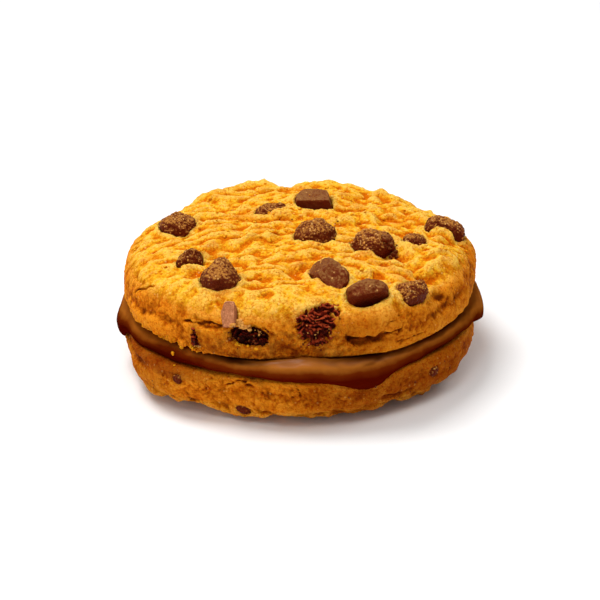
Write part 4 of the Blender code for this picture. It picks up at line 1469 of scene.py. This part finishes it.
class Graph:
    """The nodes of a material or a group, added one after another."""

    def __init__(self, tree: bpy.types.NodeTree) -> None:
        """Keeps the tree that the nodes go in."""
        self.tree = tree

    def fill(self, node: bpy.types.Node, inputs: dict) -> None:
        """Sets or links some inputs of a node.

        Args:
            node: the node.
            inputs: a value or a socket for each input, by name or number.
        """
        for name, value in inputs.items():
            socket = node.inputs[name]
            if isinstance(value, Socket):
                self.tree.links.new(value, socket)
            else:
                socket.default_value = (*value, 1.0) if socket.type == "RGBA" else value

    def add(self, kind: str, inputs: dict | None = None, **settings: object) -> bpy.types.Node:
        """Adds a node.

        Args:
            kind: the node's type.
            inputs: a value or a socket for some of its inputs, by name or number.
            settings: the node's own settings.

        Returns:
            The node.
        """
        node = self.tree.nodes.new(kind)
        for name, value in settings.items():
            setattr(node, name, value)
        self.fill(node, inputs or {})
        return node

    def ramp(self, value: Socket, *stops: tuple[float, Colour]) -> Socket:
        """Adds a colour ramp.

        Args:
            value: the socket that picks the colour.
            stops: the places and colours of the ramp.

        Returns:
            The ramp's colour.
        """
        node = self.add("ShaderNodeValToRGB", {"Fac": value})
        stays = node.color_ramp.elements
        while len(stays) < len(stops):
            stays.new(0.5)
        for element, (place, colour) in zip(stays, stops):
            element.position = place
            element.color = (*colour, 1.0)
        return node.outputs["Color"]

    def mix(self, share: Number, first: Hue, second: Hue, blend: str = "MIX") -> Socket:
        """Returns a share of a second colour mixed into a first."""
        inputs = {"Factor": share, 6: first, 7: second}
        return self.add("ShaderNodeMix", inputs, data_type="RGBA", blend_type=blend).outputs[2]

    def tinted(self, share: Socket, colour: Socket, by: Colour) -> Socket:
        """Returns a colour that is multiplied by another, by a share."""
        return self.mix(share, colour, self.mix(1.0, colour, by, "MULTIPLY"))

    def math(self, operation: str, *values: Number, clamp: bool = False) -> Socket:
        """Returns what an operation makes of some values, kept from 0 to 1 if clamped."""
        inputs = dict(enumerate(values))
        return self.add("ShaderNodeMath", inputs, operation=operation, use_clamp=clamp).outputs["Value"]

    def times(self, first: Socket, second: Number) -> Socket:
        """Returns a product."""
        return self.math("MULTIPLY", first, second)

    def centred(self, value: Socket) -> Socket:
        """Returns a value less a half."""
        return self.math("SUBTRACT", value, 0.5)

    def total(self, start: Socket, *terms: tuple[Socket, float]) -> Socket:
        """Adds values to a first one.

        Args:
            start: the first value.
            terms: each other value and its weight.

        Returns:
            The sum.
        """
        for value, weight in terms:
            start = self.math("MULTIPLY_ADD", value, weight, start)
        return start

    def remap(self, value: Socket, low: float, high: float, ends: Pair = (0.0, 1.0)) -> Socket:
        """Returns a smooth rise from one end to the other as a value goes from low to high."""
        inputs = {"Value": value, "From Min": low, "From Max": high, "To Min": ends[0], "To Max": ends[1]}
        return self.add("ShaderNodeMapRange", inputs, interpolation_type="SMOOTHSTEP").outputs["Result"]

    def value(self, name: str) -> Socket:
        """Returns one of the mesh's own values."""
        return self.add("ShaderNodeAttribute", attribute_name=name).outputs["Fac"]

    def texture(self, kind: str, place: Socket, scale: Number, **inputs: float) -> dict[str, Socket]:
        """Returns the outputs of a noise or cell texture."""
        return self.add(f"ShaderNodeTex{kind}", {"Vector": place, "Scale": scale, **inputs}).outputs


def sandy_skin() -> bpy.types.NodeTree:
    """Builds the group that gives dough and chocolate their sandy skin.

    Returns:
        A group that takes a place, a grain size and a speck share, and puts out a
        height, a mask of single bright specks, a mottle and the tone of each grain.
    """
    group = bpy.data.node_groups.new("sandy_skin", "ShaderNodeTree")
    for way, kind, names in (
        ("INPUT", "Vector", ("Place",)),
        ("INPUT", "Float", ("Grains per metre", "Speck share")),
        ("OUTPUT", "Float", ("Height", "Specks", "Mottle", "Grain tone")),
    ):
        for name in names:
            group.interface.new_socket(name, in_out=way, socket_type=f"NodeSocket{kind}")
    graph = Graph(group)
    start = graph.add("NodeGroupInput").outputs
    place, rate = start["Place"], start["Grains per metre"]
    large = graph.texture("Voronoi", place, rate)
    small = graph.texture("Voronoi", place, graph.times(rate, 1.9))
    fine = graph.texture("Noise", place, graph.times(rate, 2.3), Detail=3.0)
    coarse = graph.texture("Noise", place, graph.times(rate, 0.35))
    bump = graph.math("SUBTRACT", 1.0, large["Distance"])
    pick = graph.add("ShaderNodeSeparateColor", {"Color": large["Color"]}).outputs
    other = graph.add("ShaderNodeSeparateColor", {"Color": small["Color"]}).outputs
    chosen = graph.math("LESS_THAN", pick["Red"], start["Speck share"])
    core = graph.math("LESS_THAN", large["Distance"], 0.42)
    tone = graph.total(graph.times(other["Blue"], 0.45), (pick["Blue"], 0.55))
    tone = graph.math("ADD", tone, 0.14)
    outputs = {
        "Height": graph.total(bump, (fine["Fac"], 0.8)),
        "Specks": graph.times(chosen, core),
        "Mottle": graph.total(graph.times(coarse["Fac"], 0.5), (pick["Green"], 0.5)),
        "Grain tone": graph.total(tone, (large["Distance"], -0.35)),
    }
    graph.add("NodeGroupOutput", outputs)
    return group


class Paint(Graph):
    """A material whose nodes are added one after another."""

    def __init__(self, name: str) -> None:
        """Starts the material, with its shader and the place on the piece.

        Args:
            name: the material's name.
        """
        self.material = bpy.data.materials.new(name)
        self.material.use_nodes = True
        super().__init__(self.material.node_tree)
        self.shader = self.tree.nodes["Principled BSDF"]
        self.place = self.add("ShaderNodeTexCoord").outputs["Object"]

    def sand(self, group: bpy.types.NodeTree, rate: float, specks: float) -> dict[str, Socket]:
        """Adds the sandy skin.

        Args:
            group: its group.
            rate: its grains per metre.
            specks: the share of its grains that are bright specks.

        Returns:
            The outputs of the group.
        """
        node = self.add("ShaderNodeGroup", node_tree=group)
        self.fill(node, {"Place": self.place, "Grains per metre": rate, "Speck share": specks})
        return node.outputs

    def noise(self, size: float, detail: float = 2.0) -> Socket:
        """Returns noise whose blobs have the given size."""
        return self.texture("Noise", self.place, 1.0 / size, Detail=detail, Roughness=0.55)["Fac"]

    def up(self) -> Socket:
        """Returns how far the surface faces up, from -1 to 1."""
        normal = self.add("ShaderNodeNewGeometry").outputs["Normal"]
        return self.add("ShaderNodeSeparateXYZ", {"Vector": normal}).outputs["Z"]

    def bumped(self, height: Socket, distance: float, strength: float) -> Socket:
        """Returns the normal of a surface with some bumps."""
        inputs = {"Height": height, "Distance": distance, "Strength": strength}
        return self.add("ShaderNodeBump", inputs).outputs["Normal"]

    def done(self, inputs: dict) -> Material:
        """Returns the material after its shader has got its inputs."""
        self.fill(self.shader, inputs)
        return self.material


@dataclass(frozen=True)
class DoughFinish:
    """Baked dough: torn and golden on the crown, sandy and browner on the side, with painted shade, painted
    shadows and sugar specks painted as glints.
    """

    crown: tuple[Colour, ...] = ((0.94, 0.565, 0.090), (0.92, 0.480, 0.019), (0.68, 0.165, 0.002))
    side: tuple[Colour, ...] = ((0.82, 0.28, 0.012), (0.54, 0.135, 0.003), (0.15, 0.025, 0.001))
    toast: Colour = (0.70, 0.18, 0.003)
    shade_colour: Colour = (0.40, 0.26, 0.22)
    stain: Colour = (0.13, 0.016, 0.002)
    sugar_glint: Colour = (0.95, 0.58, 0.17)
    sand: tuple[Colour, ...] = ((0.76, 0.50, 0.25), (0.95, 0.89, 0.80), (1.0, 1.0, 1.0))
    roughness: float = 0.8
    grain_rate: float = 1900.0
    sugar_glint_share: float = 0.03
    bump: float = 0.26 * MM
    specular: float = 0.02

    def material(self, skin: bpy.types.NodeTree) -> Material:
        """Builds the dough's material.

        Args:
            skin: the group of the sandy skin.

        Returns:
            The material.
        """
        paint = Paint("baked_dough")
        sand = paint.sand(skin, self.grain_rate, self.sugar_glint_share)
        side, shade_mask = paint.value("side"), paint.value("brown")
        patch = paint.centred(paint.noise(4.0 * MM, 3.0))
        # Painted shade in hollows, in pores and on slopes turned from up, with random mottle and patches
        slope_shade = paint.times(paint.remap(paint.up(), 0.95, 0.2), paint.remap(side, 1.0, 0.4))
        depth = paint.total(
            paint.times(paint.value("hollow"), 1.35), (paint.value("pore"), 0.35),
            (paint.centred(sand["Mottle"]), 1.0), (slope_shade, 0.6), (patch, 1.2),
        )
        depth = paint.remap(depth, -1.2, 1.4)
        crown = paint.ramp(depth, *zip((0.0, 0.42, 1.0), self.crown))
        edge = paint.ramp(depth, *zip((0.0, 0.45, 1.0), self.side))
        share = paint.math("ADD", side, paint.times(patch, 0.7), clamp=True)
        toasted = paint.remap(paint.noise(6.0 * MM, 3.0), 0.5, 0.72, (0.0, 0.5))
        colour = paint.mix(toasted, paint.mix(share, crown, edge), self.toast)
        # Painted shade on stretches of the side, broken up by the patches
        brown = paint.math("MULTIPLY_ADD", patch, 0.5, shade_mask, clamp=True)
        colour = paint.tinted(paint.times(brown, paint.remap(shade_mask, 0.0, 0.2)), colour, self.shade_colour)
        # Chocolate stains and cream smears, with painted shadows in gaps, under edges and round the chips
        smears_stains_and_shade = paint.math("MAXIMUM", paint.value("stain"), paint.value("smear"))
        ragged = paint.remap(paint.noise(1.5 * MM), 0.35, 0.65, (0.15, 0.9))
        colour = paint.mix(paint.times(smears_stains_and_shade, ragged), colour, self.stain)
        tones = paint.ramp(sand["Grain tone"], *zip((0.12, 0.42, 0.75), self.sand))
        colour = paint.mix(1.0, colour, tones, "MULTIPLY")
        # Sugar specks, painted brighter as glints, fainter on the side
        sugar_glint = paint.times(sand["Specks"], paint.remap(side, 0.0, 1.0, (0.4, 0.12)))
        return paint.done({
            "Base Color": paint.mix(sugar_glint, colour, self.sugar_glint),
            "Roughness": paint.math("ADD", paint.times(sand["Specks"], -0.3), self.roughness),
            "Normal": paint.bumped(sand["Height"], self.bump, 0.85),
            "Specular IOR Level": self.specular,
            "Specular Tint": (1.0, 0.7, 0.4),
            "Subsurface Weight": 0.2,
            "Subsurface Radius": (1.0, 0.35, 0.08),
            "Subsurface Scale": 0.9 * MM,
        })


@dataclass(frozen=True)
class CrumbFinish:
    """Pale dry crumbs."""

    pale: Colour = (0.78, 0.38, 0.085)
    dark: Colour = (0.50, 0.17, 0.025)
    roughness: float = 0.8
    specular: float = 0.02

    def material(self) -> Material:
        """Builds the crumbs' material.

        Returns:
            The material.
        """
        paint = Paint("pale_crumbs")
        share = paint.remap(paint.noise(0.9 * MM), 0.35, 0.65)
        colour = paint.mix(share, self.dark, self.pale)
        return paint.done(
            {"Base Color": colour, "Roughness": self.roughness, "Specular IOR Level": self.specular}
        )


@dataclass(frozen=True)
class ChipFinish:
    """Chocolate of a chip: dark, with a dull bloom and painted light on what faces up, painted shade in
    hollows and below, and pale crumbs.
    """

    name: str
    # Colours from the painted shade below and in hollows to the bloom and painted light on top
    tones: tuple[Colour, Colour, Colour]
    crumb_share: float
    grain_spread: float
    roughness: float
    bump: float
    crumb: Colour = (0.60, 0.30, 0.09)
    grain_rate: float = 2300.0
    specular: float = 0.06

    def material(self, skin: bpy.types.NodeTree) -> Material:
        """Builds the chocolate's material.

        Args:
            skin: the group of the sandy skin.

        Returns:
            The material.
        """
        paint = Paint(self.name)
        sand = paint.sand(skin, self.grain_rate, self.crumb_share)
        up = paint.up()
        # Painted light on what faces up and painted shade in hollows, with bloom, mottle and grains
        light_shade_and_bloom = paint.total(
            up, (paint.value("hollow"), -0.3), (paint.centred(sand["Mottle"]), 0.5),
            (paint.centred(paint.noise(2.4 * MM, 3.0)), 0.8),
            (paint.centred(sand["Grain tone"]), self.grain_spread),
        )
        share = paint.remap(light_shade_and_bloom, -0.1, 1.35)
        crumbs = paint.times(sand["Specks"], paint.remap(up, 0.1, 0.8))
        return paint.done({
            "Base Color": paint.mix(crumbs, paint.ramp(share, *zip((0.0, 0.5, 1.0), self.tones)), self.crumb),
            "Roughness": paint.math("MULTIPLY_ADD", share, 0.2, self.roughness - 0.1),
            "Normal": paint.bumped(sand["Height"], self.bump, 0.8),
            "Specular IOR Level": self.specular,
            "Specular Tint": (1.0, 0.6, 0.35),
        })


@dataclass(frozen=True)
class CreamFinish:
    """Chocolate cream: smooth, satin and milky brown, with painted light high on the band and at the lit
    front and back, and painted shade low down, at the ends and under the top cookie.
    """

    # Colours from the painted shade low on the band to the painted light high on it
    tones: tuple[Colour, ...] = ((0.074, 0.0030, 0.0002), (0.14, 0.018, 0.0010), (0.41, 0.130, 0.014))
    unlit: Colour = (0.70, 0.62, 0.50)
    crease: Colour = (0.10, 0.06, 0.05)
    roughness: Pair = (0.30, 0.46)
    gleam: float = 0.4

    def material(self) -> Material:
        """Builds the cream's material.

        Returns:
            The material.
        """
        paint = Paint("chocolate_cream")
        lit, crease = paint.value("lit"), paint.value("crease")
        # Painted light and shade by height on the band, darker at the unlit ends and in the painted shadow,
        # with the coat kept to the lit upper band
        cloud = paint.centred(paint.noise(5.0 * MM, 3.0))
        tone = paint.total(paint.value("level"), (cloud, 0.5))
        colour = paint.ramp(tone, *zip((0.20, 0.52, 0.84), self.tones))
        colour = paint.tinted(paint.math("SUBTRACT", 1.0, lit), colour, self.unlit)
        coat = paint.times(lit, paint.remap(tone, 0.72, 1.0, (0.0, self.gleam)))
        return paint.done({
            "Base Color": paint.tinted(crease, colour, self.crease),
            "Roughness": paint.remap(paint.noise(2.0 * MM, 3.0), 0.3, 0.7, self.roughness),
            "Normal": paint.bumped(paint.noise(1.2 * MM, 4.0), 0.06 * MM, 0.5),
            "Coat Weight": paint.times(coat, paint.math("SUBTRACT", 1.0, crease)),
            "Coat Roughness": 0.28,
            "Coat Tint": (1.0, 0.8, 0.6),
            "Specular IOR Level": 0.0,
            "Subsurface Weight": 0.1,
            "Subsurface Radius": (1.0, 0.3, 0.1),
            "Subsurface Scale": 1.0 * MM,
        })


SMOOTH = ChipFinish(
    "smooth_chocolate", ((0.105, 0.012, 0.003), (0.16, 0.032, 0.007), (0.28, 0.118, 0.032)),
    crumb_share=0.03, grain_spread=0.9, roughness=0.42, bump=0.12 * MM,
)
GRAINY = ChipFinish(
    "grainy_chocolate", (*SMOOTH.tones[:2], (0.47, 0.19, 0.034)),
    crumb_share=0.12, grain_spread=1.5, roughness=0.55, bump=0.2 * MM,
)
CRUMBLY = replace(
    GRAINY, name="crumbly_chocolate", crumb_share=0.04, grain_spread=0.8,
    tones=((0.038, 0.002, 0.001), (0.14, 0.008, 0.002), (0.37, 0.050, 0.014)),
)
# Painted shade: a darker copy of the crumbly chocolate, for the chip in the shadowed cavity
SHADED = replace(
    CRUMBLY, name="shaded_chocolate", crumb_share=0.0,
    tones=((0.012, 0.0006, 0.0004), (0.035, 0.002, 0.001), (0.13, 0.009, 0.004)),
)
PALE = replace(
    SMOOTH, name="pale_chocolate", crumb_share=0.0,
    tones=((0.34, 0.12, 0.05), (0.52, 0.19, 0.08), (0.68, 0.31, 0.15)),
)
FINISHES = {
    Skin.SMOOTH: SMOOTH, Skin.GRAINY: GRAINY, Skin.ROPEY: CRUMBLY, Skin.SHADED: SHADED, Skin.PALE: PALE,
}


@dataclass
class Studio:
    """The pale floor, the soft light and the camera."""

    elevation: float = math.radians(26.0)
    distance: float = 0.360
    focal_pixels: float = 1700.0
    picture_pixels: float = 600.0
    aim_pixels: Pair = (301.0, 348.0)
    roll: float = math.radians(1.5)
    sensor: float = 36.0
    floor_size: float = 6.0
    floor_drop: float = 0.02 * MM
    floor_colour: Colour = (0.93, 0.93, 0.925)
    floor_roughness: float = 0.9
    sky: float = 0.32

    # Square lights that face the sandwich: name, place, size, power and strength of the highlights
    lights: tuple[tuple[str, Triple, float, float, float], ...] = (
        ("key", (-0.28, 0.15, 0.82), 0.42, 5.8, 1.0),
        ("side", (0.42, -0.05, 0.62), 0.3, 1.0, 1.0),
        ("front", (-0.10, -0.42, 0.70), 0.24, 1.3, 1.0),
        ("fill", (-0.60, -0.50, 0.34), 0.5, 0.95, 0.2),
    )

    def add_camera(self) -> None:
        """Adds the camera, aimed so that the origin falls on its pixel, and makes it the scene's."""
        data = bpy.data.cameras.new("camera")
        data.sensor_width = self.sensor
        data.lens = self.focal_pixels / self.picture_pixels * data.sensor_width
        data.clip_start = 0.01
        camera = linked("camera", data)
        back = Vector((0.0, -math.cos(self.elevation), math.sin(self.elevation)))
        right = Vector((1.0, 0.0, 0.0))
        level = Matrix((right, back.cross(right), back)).transposed().to_4x4()
        middle = self.picture_pixels / 2.0
        pan, tilt = (math.atan((pixel - middle) / self.focal_pixels) for pixel in self.aim_pixels)
        aimed = level @ Matrix.Rotation(tilt, 4, "X") @ Matrix.Rotation(pan, 4, "Y")
        aimed = aimed @ Matrix.Rotation(-self.roll, 4, "Z")
        aimed.translation = self.distance * back
        camera.matrix_world = aimed
        bpy.context.scene.camera = camera

    def add_floor(self) -> None:
        """Adds the pale floor."""
        shape = bmesh.new()
        bmesh.ops.create_grid(shape, x_segments=1, y_segments=1, size=self.floor_size / 2.0)
        floor = linked("floor", finished(shape, "floor"))
        floor.location.z = -self.floor_drop
        paper = Paint("pale_floor")
        floor.data.materials.append(
            paper.done({"Base Color": self.floor_colour, "Roughness": self.floor_roughness})
        )

    def add_lights(self) -> None:
        """Adds the square lights, and the even white light from all round."""
        for name, place, size, power, gleam in self.lights:
            data = bpy.data.lights.new(name, "AREA")
            data.size = size
            data.energy = power
            data.specular_factor = gleam
            lamp = linked(name, data)
            lamp.location = place
            lamp.rotation_euler = (-Vector(place)).to_track_quat("-Z", "Y").to_euler()
        world = bpy.data.worlds.new("studio")
        world.use_nodes = True
        background = world.node_tree.nodes["Background"]
        Graph(world.node_tree).fill(background, {"Color": (1.0, 1.0, 1.0), "Strength": self.sky})
        bpy.context.scene.world = world

    def build(self) -> None:
        """Builds the studio."""
        self.add_camera()
        self.add_floor()
        self.add_lights()
        bpy.context.scene.view_settings.view_transform = "Standard"


def main() -> None:
    """Builds the sandwich and its studio."""
    logging.basicConfig(level=logging.INFO, format="%(name)s %(message)s")
    Studio().build()
    skin = sandy_skin()
    dough = DoughFinish().material(skin)
    chocolates = {kind: finish.material(skin) for kind, finish in FINISHES.items()}
    crown = crown_pieces()
    front = side_pieces(FRONT_CHIPS, FRONT_LAYER, TOP_PLAN, Vector(), CHIP_FINENESS)
    back = side_pieces(BACK_CHIPS, BACK_LAYER, TOP_PLAN, Vector(), CHIP_FINENESS - 1)
    low = side_pieces(LOW_CHIPS, LOW_LAYER, BOTTOM_PLAN, BOTTOM_SHIFT, CHIP_FINENESS - 1)
    under = UnderChips().pieces()
    Cookie(
        "top_cookie", TOP_PLAN, TOP_THICKNESS, TOP_BASE, turned=False, shift=Vector(),
        dents=CROWN_DENTS + CHIP_LIPS, marks=TOP_SIDE_MARKS, cracks=TOP_CRACKS, smears_and_shadows=TOP_SMEARS_AND_SHADOWS,
        shade_tints=TOP_SHADE_TINTS, least_side_and_shade=0.0, lipped=CROWN_CHIPS, chips=crown + front + back, keep=0.58,
    ).build(dough)
    Cookie(
        "bottom_cookie", BOTTOM_PLAN, BOTTOM_THICKNESS, BOTTOM_THICKNESS, turned=True, shift=BOTTOM_SHIFT,
        dents=REST_RISE, marks=turned_over(BOTTOM_SIDE_MARKS), cracks=turned_cracks(BOTTOM_CRACKS),
        smears_and_shadows=turned_over(BOTTOM_SMEARS_AND_SHADOWS), shade_tints=turned_over(BOTTOM_SHADE_TINTS), least_side_and_shade=0.7, lipped=(),
        chips=low + under, keep=0.5,
    ).build(dough)
    Cream().build(CreamFinish().material())
    for piece in crown + front + back + low + under:
        kind = piece.chip.skin
        piece.build(Slot.PALE if kind is Skin.PALE else Slot.CHIP, chocolates[kind])
    bpy.context.view_layer.update()
    Crumbs("dough_crumbs", DOUGH_CRUMBS, 5, avoid="chocolate_").build(Slot.CRUST, dough)
    Crumbs("pale_crumbs", PALE_CRUMBS, 7).build(Slot.CRUST, CrumbFinish().material())
    Crumbs("chocolate_crumbs", CHOCOLATE_CRUMBS, 6).build(Slot.CHIP, chocolates[Skin.SMOOTH])


if __name__ == "__main__":
    main()
